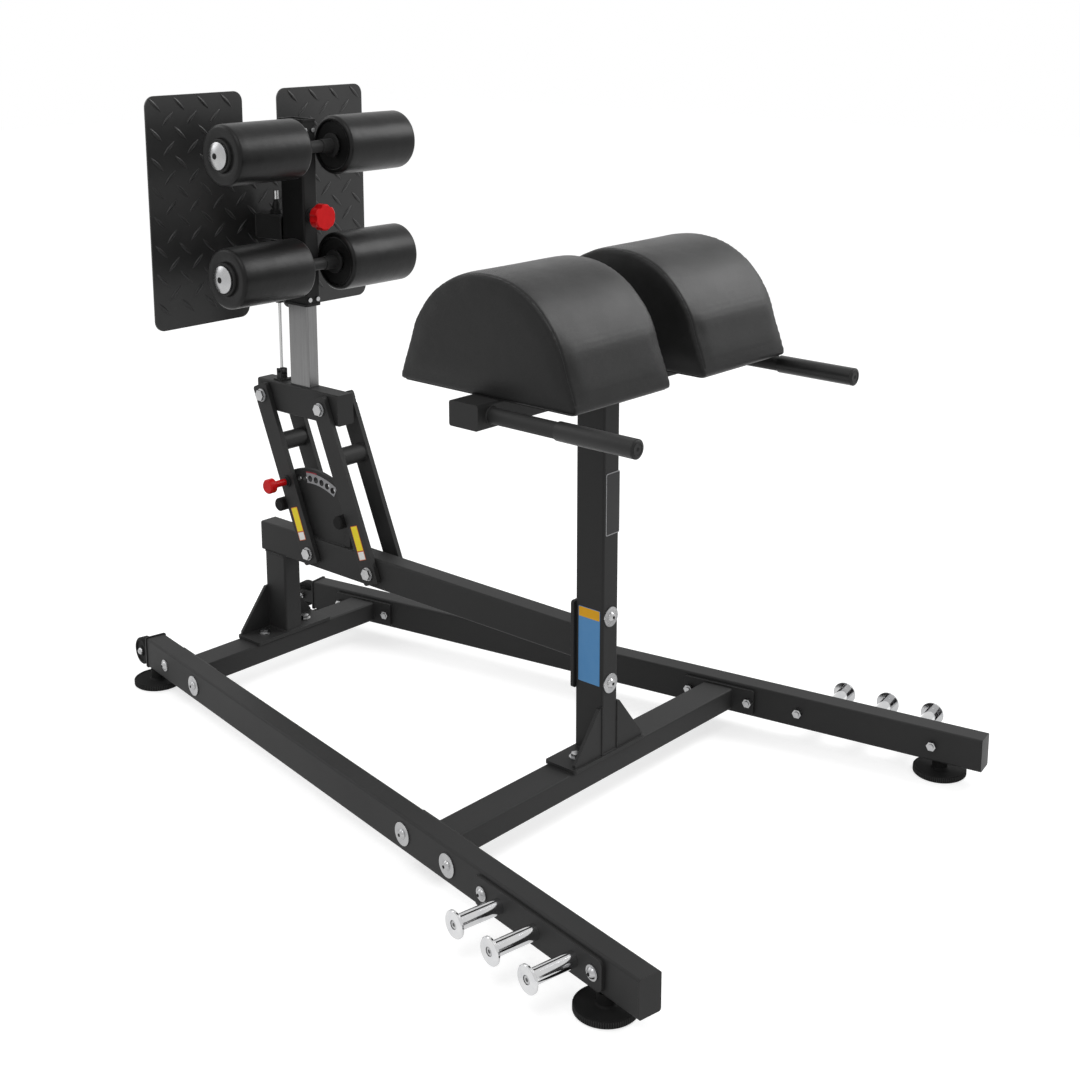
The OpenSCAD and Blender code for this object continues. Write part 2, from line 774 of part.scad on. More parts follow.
module at_handles(x) {
    both_sides() translate([x, handle_y, crossbar_zc]) rotate([0, 90, 0]) children();
}
module handles() {
    color(black_steel) at_handles(upright_front_x) washer(handle_d - 5, handle_d, handle_len);
}
module grips() {
    color(black_rubber) at_handles(upright_front_x + handle_len - grip_len)
        washer(handle_d + 2 * push_gap, grip_d, grip_len);
}
module grip_plugs() {
    color(black_plastic) at_handles(upright_front_x + handle_len) {
        cylinder(d = grip_d, h = 2);
        translate([0, 0, 2]) cylinder(d1 = grip_d - 2, d2 = grip_d - 8, h = 2);
        translate([0, 0, -cap_depth]) cylinder(d = handle_d - 5 - 2 * push_gap, h = cap_depth);
    }
}

// Band pegs

module peg_plates() {
    color(black_steel) both_sides() on_rail() difference() {
        translate([peg_plate_s, tube_short / 2, rail_zc]) along_y()
            linear_extrude(peg_plate_t) round_rect(peg_plate_len, peg_plate_h, 12);
        for (k = [-1, 1])
            translate([peg_plate_s + k * peg_bolt_pitch / 2, tube_short / 2, rail_zc]) along_y()
                drill(bolt_d + hole_gap, 4 * peg_plate_t);
    }
}
module peg_plate_bolts() {
    seat = tube_short / 2 + peg_plate_t + washer_t;
    color(bright_steel) both_sides() on_rail() for (k = [-1, 1])
        translate([peg_plate_s + k * peg_bolt_pitch / 2, 0, rail_zc]) {
            translate([0, seat, 0]) rotate([90, 0, 0]) {
                dome_bolt(bolt_d, seat + tube_short / 2 + nut_h + bolt_over);
                washer(bolt_d + hole_gap, small_washer_d, washer_t);
            }
            translate([0, -tube_short / 2, 0]) rotate([90, 0, 0]) hex_nut(bolt_d);
        }
}
module at_pegs(y) {
    both_sides() on_rail() for (k = [-1 : 1])
        translate([peg_plate_s + k * peg_pitch, y, rail_zc]) along_y() children();
}
module band_pegs() {
    color(bright_steel) at_pegs(tube_short / 2 + peg_plate_t) difference() {
        bevel = 1.5;
        union() {
            cylinder(d = peg_d, h = peg_len);
            translate([0, 0, peg_len]) cylinder(d = peg_disc_d, h = peg_disc_t - bevel);
            translate([0, 0, peg_len + peg_disc_t - bevel])
                cylinder(d1 = peg_disc_d, d2 = peg_disc_d - 2 * bevel, h = bevel);
        }
        translate([0, 0, peg_len + peg_disc_t - peg_seat])
            cylinder(d = 2.25 * peg_screw_d, h = peg_seat + past);
        translate([0, 0, peg_len - 40]) cylinder(d = peg_screw_d + hole_gap, h = 60);
    }
}
// a socket screw sunk in each peg's end disc
module band_peg_screws() {
    color(bright_steel) at_pegs(tube_short / 2 + peg_plate_t + peg_len + peg_disc_t - peg_seat)
        difference() {
            union() {
                cylinder(d = 15, h = peg_seat - 1);
                translate([0, 0, -30]) cylinder(d = peg_screw_d, h = 30 + past);
            }
            translate([0, 0, 2]) cylinder(r = peg_screw_d / 2, h = peg_seat, $fn = 6);
        }
}

// Feet and wheels

// in a rail's own frame, above its two feet
module at_feet(z) {
    for (s = [foot_rear_s, foot_front_s]) translate([s, foot_out, z]) children();
}
module rubber_feet() {
    r = foot_d / 2;
    neck = foot_h - foot_rim_h;
    color(black_rubber) both_sides() on_rail() at_feet(0) difference() {
        rotate_extrude() polygon([
            [0, 0], [r - 3, 0], [r, 3], [r, foot_rim_h - 2], [r - 2, foot_rim_h],
            [0.86 * r, foot_rim_h + 0.1 * neck], [0.62 * r, foot_rim_h + 0.4 * neck],
            [0.4 * r, foot_h - 3], [0.36 * r, foot_h], [0, foot_h]
        ]);
        translate([0, 0, foot_h - stud_depth])
            cylinder(d = bolt_d + push_gap, h = stud_depth + past);
    }
}
module foot_studs() {
    color(bright_steel) both_sides() on_rail() at_feet(foot_h) {
        translate([0, 0, -stud_depth])
            cylinder(d = bolt_d, h = stud_depth + tube_wall + nut_h + bolt_over);
        translate([0, 0, tube_wall]) hex_nut(bolt_d);
    }
}
// an end plate welded on the rail with one lug beside the wheel
module wheel_brackets() {
    color(black_steel) both_sides() on_rail() {
        translate([-cap_lip, 0, rail_zc]) along_x()
            linear_extrude(cap_lip) round_rect(tube_short, tube_long, tube_corner);
        difference() {
            translate([-wheel_back, lug_y, wheel_z]) rotate([90, 0, 0])
                linear_extrude(lug_t) {
                    circle(lug_r);
                    translate([0, -lug_r]) square([wheel_back - cap_lip / 2, 2 * lug_r]);
                }
            translate([-wheel_back, lug_y, wheel_z]) along_y()
                drill(axle_bolt_d + hole_gap, 4 * lug_t);
        }
    }
}
module wheel_axles() {
    color(bright_steel) both_sides() on_rail()
        translate([-wheel_back, wheel_out + wheel_w / 2 + wheel_play, wheel_z])
            rotate([90, 0, 0]) {
                dome_bolt(axle_bolt_d, wheel_w + 2 * wheel_play + washer_t + lug_t + nut_h
                    + bolt_over);
                translate([0, 0, wheel_w + 2 * wheel_play])
                    washer(axle_bolt_d + hole_gap, 2 * axle_bolt_d, washer_t);
                translate([0, 0, wheel_w + 2 * wheel_play + washer_t + lug_t])
                    hex_nut(axle_bolt_d);
            }
}
// a wheel with a hub, a thin web and a rim; it turns square to its rail
module transport_wheel() {
    r = wheel_r;
    on_rail() translate([-wheel_back, wheel_out - wheel_w / 2, wheel_z]) along_y() difference() {
        rotate_extrude() polygon([
            [0, 0], [r * 0.36, 0], [r * 0.4, 3], [r * 0.74, 3], [r * 0.78, 0], [r - 3, 0],
            [r, 3], [r, wheel_w - 3], [r - 3, wheel_w], [r * 0.78, wheel_w],
            [r * 0.74, wheel_w - 3], [r * 0.4, wheel_w - 3], [r * 0.36, wheel_w], [0, wheel_w]
        ]);
        translate([0, 0, -past]) cylinder(d = axle_bolt_d + 2 * run_gap, h = wheel_w + 2 * past);
    }
}
module transport_wheel_left() {
    color(black_rubber) transport_wheel();
}
module transport_wheel_right() {
    color(black_rubber) mirror([0, 1, 0]) transport_wheel();
}

// Linkage

module pivot_bolts(x, z) {
    near = bar_outer + side_gap;
    far = far_outer + side_gap;
    translate([x, 0, z]) {
        translate([0, -near - washer_t, 0]) rotate([-90, 0, 0]) {
            hex_bolt(pivot_d, near + far + 2 * washer_t + nut_h + bolt_over);
            washer(pivot_d + push_gap, 2 * pivot_d, washer_t);
        }
        translate([0, far, 0]) rotate([-90, 0, 0]) {
            washer(pivot_d + push_gap, 2 * pivot_d, washer_t);
            translate([0, 0, washer_t]) hex_nut(pivot_d);
        }
    }
}
module lower_pivot_bolts() {
    color(bright_steel) for (x = [pivot_x, front_pivot_x]) pivot_bolts(x, beam_zc);
}
module upper_pivot_bolts() {
    color(bright_steel) for (x = [pivot_x, front_pivot_x]) pivot_bolts(x + lean_x, upper_z);
}

// a link in its own frame: two bars and a cross tube, pivots at z = 0 and z = link_len
module link(x, upper_gap, pin_hole) {
    translate([x, 0, beam_zc]) rotate([0, -link_lean, 0]) {
        for (y = [-bar_outer, far_inner]) difference() {
            translate([0, y, link_len / 2]) along_y()
                linear_extrude(link_t) round_rect(link_w, link_len + 2 * link_end, 8);
            translate([0, y, 0]) along_y() drill(pivot_d + 2 * run_gap, 4 * link_t);
            translate([0, y, link_len]) along_y() drill(pivot_d + 2 * upper_gap, 4 * link_t);
            if (pin_hole && y < 0) translate([0, y, sector_hole_r]) along_y()
                drill(swing_neck_d + 2 * run_gap, 4 * link_t);
        }
        translate([0, -bar_inner, link_tube_r]) along_y()
            washer(link_tube_d - 6, link_tube_d, bar_inner + far_inner);
    }
}
module rear_link() {
    color(black_steel) link(pivot_x, run_gap, true);
}
module front_link() {
    color(black_steel) link(front_pivot_x, side_gap, false);
}
module carriage_tube() {
    color(black_steel) {
        difference() {
            translate([carriage_rear_x, 0, upper_z]) along_x()
                box_tube(carriage_len, tube_short, tube_long);
            for (x = [pivot_x, front_pivot_x])
                translate([x + lean_x, 0, upper_z]) along_y() drill(1.6 * pivot_d, 2 * tube_short);
        }
        for (x = [pivot_x, front_pivot_x])
            translate([x + lean_x, 0, upper_z]) along_y() pivot_bush();
    }
}
module carriage_caps() {
    color(black_plastic) {
        translate([carriage_rear_x, 0, upper_z]) mirror([1, 0, 0]) along_x()
            carriage_cap();
        translate([carriage_rear_x + carriage_len, 0, upper_z]) along_x() carriage_cap();
    }
}
// a flat cap with a short spigot, which stays clear of the pivot bush
module carriage_cap() {
    linear_extrude(cap_lip) round_rect(tube_short, tube_long, tube_corner);
    spigot = 8;
    translate([0, 0, -spigot]) linear_extrude(spigot + past)
        round_rect(tube_short - 2 * tube_wall - 2 * push_gap,
            tube_long - 2 * tube_wall - 2 * push_gap, 2);
}

// the swing pin sits on the near bar of the rear link
module at_swing_pin(y) {
    translate([pivot_x, y, beam_zc]) rotate([0, -link_lean, 0])
        translate([0, 0, sector_hole_r]) rotate([90, 0, 0]) children();
}
module swing_pin_housing() {
    color(black_plastic) at_swing_pin(-bar_outer) difference() {
        union() {
            cylinder(d = 2.5 * pin_d, h = swing_housing_h / 2);
            cylinder(d = swing_neck_d + 6, h = swing_housing_h);
        }
        translate([0, 0, -past])
            cylinder(d = swing_neck_d + 2 * run_gap, h = swing_housing_h + 2 * past);
    }
}
// the pin, drawn back by its stroke: a thin tip, and a neck that flares to a round knob
module swing_pin() {
    tip = -sector_near - bar_outer + tip_gap;
    neck = swing_neck_d / 2;
    rim = swing_knob_d / 2;
    flare = swing_housing_h + swing_neck_len;
    head = flare + swing_flare_h;
    color(signal_red) at_swing_pin(-bar_outer) {
        translate([0, 0, tip]) cylinder(d = pin_d, h = past - tip);
        rotate_extrude() polygon(concat(
            [[0, 0], [neck, 0]],
            [for (t = [0 : 15 : 90])
                [neck + (rim - neck) * (1 - cos(t)), flare + swing_flare_h * sin(t)]],
            [[rim, head + swing_knob_t - 3], [rim - 3, head + swing_knob_t], [0, head + swing_knob_t]]
        ));
    }
}

// Slide post and gas spring

module slide_post() {
    color(satin_steel) difference() {
        translate([post_x, 0, carriage_top])
            box_tube(post_h, post_w, post_d, post_wall, post_corner);
        for (i = [-holes_below : holes_above])
            translate([post_x + post_w / 2, 0, height_pin_z + i * height_pitch])
                rotate([0, 90, 0]) drill(pin_d + 2 * hole_gap, 4 * post_wall);
    }
}
module slide_post_cap() {
    color(black_plastic) translate([post_x, 0, carriage_top + post_h]) {
        linear_extrude(cap_lip) round_rect(post_w, post_d, post_corner);
        translate([0, 0, -cap_depth]) linear_extrude(cap_depth + past)
            round_rect(post_w - 2 * post_wall - 2 * push_gap,
                post_d - 2 * post_wall - 2 * push_gap, 2);
    }
}
// a forked foot with its cross pin, and the rod whose eye sits on the pin
module gas_rod() {
    eye = gas_eye_t;
    fork = gas_fork_t;
    pin = 0.75 * gas_rod_d;
    ear = 2 * gas_rod_d;
    span = eye + 2 * fork + 2;
    color(satin_steel) {
        translate([gas_x, 0, carriage_top]) {
            linear_extrude(fork) round_rect(2.2 * ear, span + 10, 4);
            for (k = [-1, 1])
                translate([-ear / 2, k * (span - fork) / 2 - fork / 2, fork - past])
                    cube([ear, fork, gas_lug_z - carriage_top - fork + ear / 2]);
        }
        translate([gas_x, -span / 2 - 4, gas_lug_z]) along_y() cylinder(d = pin, h = span + 8);
        difference() {
            union() {
                translate([gas_x, -eye / 2, gas_lug_z]) along_y() cylinder(d = ear, h = eye);
                translate([gas_x, 0, gas_lug_z])
                    cylinder(d = gas_rod_d, h = gas_z0 + gas_rod_in - gas_lug_z);
            }
            translate([gas_x, 0, gas_lug_z]) along_y() drill(pin + 2 * run_gap, 2 * eye);
        }
    }
}
module gas_cylinder() {
    seat = arm_z + arm_h / 2;
    end = 12;
    color(black_steel) difference() {
        union() {
            translate([gas_x, 0, gas_z0]) cylinder(d = gas_d, h = gas_len);
            translate([gas_x, 0, gas_z1]) cylinder(d1 = gas_d, d2 = end, h = 8);
            translate([gas_x, 0, gas_z1 + 8]) cylinder(d = end, h = 25);
            for (z = [seat, seat - arm_h - nut_h])
                translate([gas_x, 0, z]) cylinder(r = 0.8 * gas_d, h = nut_h, $fn = 6);
        }
        translate([gas_x, 0, gas_z0 + end]) cylinder(d = gas_d - 4, h = gas_len - end - 8);
        translate([gas_x, 0, gas_z0 - past])
            cylinder(d = gas_rod_d + 2 * run_gap, h = end + 2 * past);
    }
}

// Sleeve with rollers and foot plate

module sleeve() {
    color(black_steel) difference() {
        translate([post_x, 0, sleeve_z])
            box_tube(sleeve_len, sleeve_w, sleeve_d, sleeve_wall, tube_corner);
        translate([sleeve_front, 0, height_pin_z]) rotate([0, 90, 0])
            drill(pin_d + 2 * hole_gap, 4 * sleeve_wall);
        at_liner_screws() drill(liner_screw_d + hole_gap, 4 * sleeve_wall);
    }
}
module at_liner_screws() {
    for (z = [10, sleeve_len - 20], y = [-12, 12])
        translate([sleeve_front, y, sleeve_z + z]) rotate([0, -90, 0]) children();
}
// a plastic liner in each end of the sleeve, with a collar outside
module liner() {
    inner_w = post_w + 2 * side_gap;
    inner_d = post_d + 2 * side_gap;
    difference() {
        union() {
            linear_extrude(liner_len) round_rect(post_w + 2 * (sleeve_gap - push_gap),
                post_d + 2 * (sleeve_gap - push_gap), 3);
            translate([0, 0, liner_len]) linear_extrude(collar_t)
                round_rect(sleeve_w + 4, sleeve_d + 4, tube_corner + 2);
        }
        translate([0, 0, -past]) linear_extrude(liner_len + collar_t + 2 * past)
            round_rect(inner_w, inner_d, post_corner);
    }
}
module sleeve_liners() {
    color(black_plastic) difference() {
        union() {
            translate([post_x, 0, sleeve_z + sleeve_len - liner_len]) liner();
            translate([post_x, 0, sleeve_z + liner_len]) mirror([0, 0, 1]) liner();
        }
        at_liner_screws()
            drill(liner_screw_d + hole_gap, 4 * sleeve_gap + 4 * sleeve_wall);
    }
}
module liner_screws() {
    color(bright_steel) at_liner_screws() {
        translate([0, 0, -4]) cylinder(d = 2.2 * liner_screw_d, h = 4);
        translate([0, 0, -past])
            cylinder(d = liner_screw_d, h = past + sleeve_wall + sleeve_gap / 2);
    }
}
module height_pin_housing() {
    color(black_plastic) translate([sleeve_front, 0, height_pin_z]) rotate([0, 90, 0])
        difference() {
            union() {
                cylinder(d = 2.8 * pin_d, h = 3);
                cylinder(d = 2.3 * pin_d, h = height_housing_h);
            }
            translate([0, 0, -past])
                cylinder(d = pin_d + 2 * run_gap, h = height_housing_h + 2 * past);
        }
}
// the pin, drawn back by its stroke, with a knob of six shallow lobes
module height_pin() {
    tip = -sleeve_wall - sleeve_gap + tip_gap;
    knob = height_housing_h + pin_stroke + 2;
    lobe_r = 13;
    color(signal_red) translate([sleeve_front, 0, height_pin_z]) rotate([0, 90, 0]) {
        translate([0, 0, tip]) cylinder(d = pin_d, h = knob - tip + past);
        difference() {
            translate([0, 0, knob]) {
                cylinder(d1 = height_knob_d - 6, d2 = height_knob_d, h = 3);
                translate([0, 0, 3]) cylinder(d = height_knob_d, h = height_knob_t - 6);
                translate([0, 0, height_knob_t - 3])
                    cylinder(d1 = height_knob_d, d2 = height_knob_d - 6, h = 3);
            }
            for (a = [30 : 60 : 330]) rotate([0, 0, a])
                translate([height_knob_d / 2 + 0.7 * lobe_r, 0, knob - past])
                    cylinder(r = lobe_r, h = height_knob_t + 2 * past);
        }
    }
}
module roller_axles() {
    half = hub_y1 - 2;
    collar_t = 4;
    color(black_steel) for (z = axle_zs) {
        translate([axle_x, -half, z]) along_y() washer(axle_bore, axle_d, 2 * half);
        both_sides() translate([axle_x, roller_y0 - side_gap - collar_t, z]) along_y()
            washer(axle_d - 1, axle_collar_d, collar_t);
        translate([sleeve_front, -post_d / 2, z - 8]) cube([axle_d / 4, post_d, 16]);
    }
}
// a domed cap on each end of an axle, which keeps its roller on
module roller_end_caps() {
    a = roller_cap_d / 2;
    ball = (a * a + cap_rise * cap_rise) / (2 * cap_rise);
    color(bright_steel) both_sides() for (z = axle_zs)
        translate([axle_x, hub_y1 + side_gap, z]) along_y() {
            cylinder(r = a, h = cap_disc_t);
            intersection() {
                translate([0, 0, cap_disc_t + cap_rise - ball]) sphere(ball);
                translate([0, 0, cap_disc_t - past]) cylinder(r = a, h = cap_rise + 2 * past);
            }
            translate([0, 0, -cap_depth])
                cylinder(d = axle_bore - 2 * push_gap, h = cap_depth + past);
        }
}
// a foam roller with round edges, on a hub that stands out at its outer end
module roller(z) {
    r = roller_d / 2;
    e = 9;
    inner = axle_d / 2 + run_gap;
    translate([axle_x, roller_y0, z]) along_y() rotate_extrude() {
        translate([inner, 0]) square([r - e - inner, roller_len]);
        translate([r - e - past, e]) square([e + past, roller_len - 2 * e]);
        for (y = [e, roller_len - e]) translate([r - e, y]) circle(e);
        translate([inner, roller_len - past])
            square([roller_hub_d / 2 - inner, roller_hub_out + past]);
    }
}
module roller_upper_left() {
    color(black_vinyl) roller(axle_zs[1]);
}
module roller_upper_right() {
    color(black_vinyl) mirror([0, 1, 0]) roller(axle_zs[1]);
}
module roller_lower_left() {
    color(black_vinyl) roller(axle_zs[0]);
}
module roller_lower_right() {
    color(black_vinyl) mirror([0, 1, 0]) roller(axle_zs[0]);
}
module plate_arm() {
    color(black_steel) difference() {
        translate([plate_x, 0, arm_z]) along_x() box_tube(arm_len, arm_w, arm_h);
        translate([gas_x, 0, arm_z]) drill(gas_d + hole_gap, 2 * arm_h);
    }
}
module foot_plate() {
    side_w = (plate_w - notch_w) / 2;
    color(black_steel) translate([plate_x - plate_sheet, 0, sleeve_z - plate_drop + plate_h / 2])
        along_x() linear_extrude(plate_sheet) {
            for (k = [-1, 1]) translate([k * (notch_w + side_w) / 2, 0])
                round_rect(side_w, plate_h, plate_corner);
            square([notch_w + 4 * plate_corner, plate_h - 2 * notch_depth], center = true);
        }
}

side_rail_right();
side_rail_left();
rail_front_caps();
rear_crossmember();
front_crossmember();
rail_bolts();
wide_washers();
rail_nuts();
rear_post();
base_plate_bolts();
main_beam();
beam_rear_cap();
beam_bolts();
adjustment_sector();
rubber_stops();
front_upright();
crossbar();
crossbar_caps();
pad_boards();
pad_bolts();
thigh_pad_right();
thigh_pad_left();
handles();
grips();
grip_plugs();
peg_plates();
peg_plate_bolts();
band_pegs();
band_peg_screws();
rubber_feet();
foot_studs();
wheel_brackets();
wheel_axles();
transport_wheel_right();
transport_wheel_left();
lower_pivot_bolts();
rear_link();
swing_pin_housing();
front_link();
carriage_tube();
carriage_caps();
upper_pivot_bolts();
slide_post();
slide_post_cap();
gas_rod();
sleeve();
sleeve_liners();
liner_screws();
height_pin_housing();
roller_axles();
roller_end_caps();
plate_arm();
foot_plate();
gas_cylinder();
swing_pin();
height_pin();
roller_upper_right();
roller_upper_left();
roller_lower_right();
roller_lower_left();
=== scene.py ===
# Looks of the glute ham developer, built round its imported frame

import json
import math

import bmesh
import bpy
from mathutils import Matrix, Vector, noise
from mathutils.bvhtree import BVHTree

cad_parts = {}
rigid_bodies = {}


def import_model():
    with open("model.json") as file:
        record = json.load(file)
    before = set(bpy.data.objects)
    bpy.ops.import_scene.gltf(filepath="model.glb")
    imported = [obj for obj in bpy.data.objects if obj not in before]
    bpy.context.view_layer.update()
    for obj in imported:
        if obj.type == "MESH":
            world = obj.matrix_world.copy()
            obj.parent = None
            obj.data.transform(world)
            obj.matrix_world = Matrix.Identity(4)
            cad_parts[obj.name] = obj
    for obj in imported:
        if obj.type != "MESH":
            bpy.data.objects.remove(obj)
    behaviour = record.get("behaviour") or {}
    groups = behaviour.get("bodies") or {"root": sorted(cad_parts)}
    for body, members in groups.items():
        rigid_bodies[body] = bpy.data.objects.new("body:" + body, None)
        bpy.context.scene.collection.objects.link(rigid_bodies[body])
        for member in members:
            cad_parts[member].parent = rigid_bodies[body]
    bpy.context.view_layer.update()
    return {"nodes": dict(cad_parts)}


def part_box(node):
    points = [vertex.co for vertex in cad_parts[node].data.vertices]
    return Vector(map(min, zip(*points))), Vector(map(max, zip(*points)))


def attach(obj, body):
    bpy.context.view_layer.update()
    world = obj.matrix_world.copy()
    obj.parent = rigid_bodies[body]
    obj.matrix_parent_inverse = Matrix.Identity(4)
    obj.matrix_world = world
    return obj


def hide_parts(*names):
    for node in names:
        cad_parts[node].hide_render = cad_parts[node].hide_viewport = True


for leftover in list(bpy.data.objects):
    bpy.data.objects.remove(leftover)
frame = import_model()
cad_nodes = frame["nodes"]

MM = 0.001
VALUE = "NodeSocketFloat"
ARROW = "NodeSocketVector"
SHAPE = "NodeSocketGeometry"
MATERIAL = "NodeSocketMaterial"


def mm(*sizes):
    """Sizes in millimetres as metres: one number, or a vector of several."""
    if len(sizes) == 1:
        return sizes[0] * MM
    return Vector(sizes) * MM


def added(name, data):
    """A new object in the scene."""
    made = bpy.data.objects.new(name, data)
    bpy.context.scene.collection.objects.link(made)
    return made


def settled_mesh(holder):
    """The plain mesh that an object's modifiers make."""
    return bpy.data.meshes.new_from_object(holder.evaluated_get(bpy.context.evaluated_depsgraph_get()))


# Camera

CAMERA_PLACE = (2.4411, -2.5469, 1.7211)
CAMERA_TILT = 12.484
CAMERA_TURN = 41.617
CAMERA_LENS = 55.42
CAMERA_SENSOR = 36
CAMERA_SHIFT = -0.18


def place_camera():
    camera = added("camera", bpy.data.cameras.new("camera"))
    camera.location = CAMERA_PLACE
    camera.rotation_euler = (math.radians(90 - CAMERA_TILT), 0, math.radians(CAMERA_TURN))
    camera.data.sensor_width = CAMERA_SENSOR
    camera.data.lens = CAMERA_LENS
    camera.data.shift_y = CAMERA_SHIFT
    bpy.context.scene.camera = camera


# Short words for making and joining nodes


class Graph:
    """A node tree, with calls that add a node and join its sockets in one line."""

    def __init__(self, tree):
        self.tree = tree

    def feed(self, socket, value):
        if isinstance(value, bpy.types.NodeSocket):
            self.tree.links.new(value, socket)
        else:
            socket.default_value = value

    def node(self, kind, feeds=None, **settings):
        made = self.tree.nodes.new(kind)
        for name, value in settings.items():
            setattr(made, name, value)
        for socket, value in (feeds or {}).items():
            self.feed(made.inputs[socket], value)
        return made

    def math(self, operation, a, b=0.0):
        return self.node("ShaderNodeMath", {0: a, 1: b}, operation=operation).outputs[0]

    def times(self, a, b):
        return self.math("MULTIPLY", a, b)

    def shares(self, a, a_share, b, b_share):
        """The sum of two values, each times its share."""
        return self.math("ADD", self.times(a, a_share), self.times(b, b_share))

    def vector_math(self, operation, *values):
        feeds = dict(enumerate(values))
        return self.node("ShaderNodeVectorMath", feeds, operation=operation).outputs

    def spread(self, value, low, high, to_low=0.0, to_high=1.0):
        """value, taken from low..high to to_low..to_high, and held there."""
        feeds = {0: value, 1: low, 2: high, 3: to_low, 4: to_high}
        return self.node("ShaderNodeMapRange", feeds).outputs[0]

    def between(self, share, low, high):
        """low where share is 0, and high where it is 1."""
        return self.spread(share, 0.0, 1.0, low, high)

    def blend(self, share, a, b):
        """Colour a where share is 0, and b where it is 1."""
        feeds = {0: share, 6: a, 7: b}
        return self.node("ShaderNodeMix", feeds, data_type="RGBA").outputs[2]

    def place(self):
        return self.node("ShaderNodeTexCoord").outputs["Object"]

    def noise(self, place, scale, detail=2.0, rough=0.5, output="Fac"):
        feeds = {"Vector": place, "Scale": scale, "Detail": detail, "Roughness": rough}
        return self.node("ShaderNodeTexNoise", feeds).outputs[output]

    def bent_cells(self, place, bend_scale, bend, scale):
        """How far a spot lies from the edge of its cell, with the cells bent by a noise."""
        push = self.noise(place, bend_scale, output="Color")
        bent = self.vector_math("MULTIPLY_ADD", push, (bend, bend, bend), place)[0]
        feeds = {"Vector": bent, "Scale": scale}
        return self.node("ShaderNodeTexVoronoi", feeds, feature="DISTANCE_TO_EDGE").outputs["Distance"]

    def bumped(self, height, depth, normal=None):
        """A normal with height laid over it, depth metres deep."""
        feeds = {"Strength": 1.0, "Distance": depth, "Height": height}
        if normal is not None:
            feeds["Normal"] = normal
        return self.node("ShaderNodeBump", feeds).outputs["Normal"]

    def use(self, group, **feeds):
        """A shader node group, with its inputs set by name."""
        return self.node("ShaderNodeGroup", feeds, node_tree=group).outputs


class Group(Graph):
    """A new node group of a kind: its sockets are added, and then it is opened."""

    def __init__(self, name, kind):
        super().__init__(bpy.data.node_groups.new(name, kind))

    def socket(self, label, side, kind):
        return self.tree.interface.new_socket(label, in_out=side, socket_type=kind)

    def inputs(self, values):
        """Named inputs, with their first values."""
        for label, value in values.items():
            kind = ARROW if isinstance(value, tuple) else VALUE
            self.socket(label, "INPUT", kind).default_value = value

    def open(self):
        """Takes up the inputs and outputs once all of them are there."""
        self.inp = self.tree.nodes.new("NodeGroupInput").outputs
        self.out = self.tree.nodes.new("NodeGroupOutput").inputs


def shader_group(name, inputs, outputs):
    """An empty shader node group with named inputs (name: first value) and outputs (name: kind)."""
    group = Group(name, "ShaderNodeTree")
    group.inputs(inputs)
    for label, kind in outputs.items():
        group.socket(label, "OUTPUT", kind)
    group.open()
    return group


# Effects that several finishes share


def make_edge_highlight_wear():
    """A normal that rounds sharp edges, and a mask for paler edges there: rubbed wear in patches and a
    painted highlight together.
    """
    g = shader_group("rubbed_edges", {"Radius": 0.001, "Patch": 0.02}, {"Normal": ARROW, "Rubbed": VALUE})
    rounded = g.node("ShaderNodeBevel", {"Radius": g.inp["Radius"]}, samples=4).outputs["Normal"]
    flat = g.node("ShaderNodeNewGeometry").outputs["Normal"]
    turned = g.spread(g.vector_math("DOT_PRODUCT", rounded, flat)["Value"], 0.99, 0.8)
    patches = g.noise(g.place(), g.math("DIVIDE", 1.0, g.inp["Patch"]), 4.0, 0.65)
    # Where used, this mask paints edges paler: a painted highlight, broken into patches like rubbed wear.
    g.feed(g.out["Rubbed"], g.times(turned, g.spread(patches, 0.42, 0.62)))
    g.feed(g.out["Normal"], rounded)
    return g.tree


def make_fine_grain():
    """Small even bumps, as on powder coat, foam skin or moulded plastic."""
    g = shader_group("fine_grain", {"Size": 0.001}, {"Height": VALUE})
    g.feed(g.out["Height"], g.noise(g.place(), g.math("DIVIDE", 1.0, g.inp["Size"]), 2.0, 0.45))
    return g.tree


def make_handling():
    """Broad cloudy tone, and thin scuffs here and there."""
    g = shader_group("handling", {"Size": 0.2, "Scuffs": 0.5}, {"Cloud": VALUE, "Scuff": VALUE})
    place = g.place()
    cloud = g.noise(place, g.math("DIVIDE", 1.0, g.inp["Size"]), 3.0, 0.55)
    g.feed(g.out["Cloud"], g.spread(cloud, 0.3, 0.7))
    line = g.spread(g.bent_cells(place, 9.0, 0.12, 24.0), 0.012, 0.0)
    sparse = g.spread(g.noise(place, 6.0), 0.56, 0.68)
    g.feed(g.out["Scuff"], g.times(g.times(line, sparse), g.inp["Scuffs"]))
    return g.tree


def make_hide_grain():
    """Coated-fabric grain: small pebbles with fine creases between them."""
    g = shader_group("hide_grain", {"Size": 0.0012}, {"Height": VALUE, "Tone": VALUE})
    place = g.place()
    scale = g.math("DIVIDE", 1.0, g.inp["Size"])
    pebble = g.spread(g.bent_cells(place, 500.0, 0.0006, scale), 0.0, 0.28)
    fine = g.noise(place, g.times(scale, 2.6))
    g.feed(g.out["Height"], g.shares(pebble, 0.75, fine, 0.25))
    g.feed(g.out["Tone"], pebble)
    return g.tree


def make_drawn_streaks():
    """Fine upright lines, as drawing leaves on bare metal."""
    stretch = (2200.0, 2200.0, 30.0)
    g = shader_group("drawn_streaks", {"Stretch": stretch}, {"Height": VALUE, "Tone": VALUE})
    drawn = g.vector_math("MULTIPLY", g.place(), g.inp["Stretch"])[0]
    lines = g.noise(drawn, 1.0, 4.0, 0.6)
    g.feed(g.out["Height"], lines)
    g.feed(g.out["Tone"], g.spread(g.math("ADD", lines, g.times(g.noise(drawn, 0.21), 0.6)), 0.6, 1.0))
    return g.tree


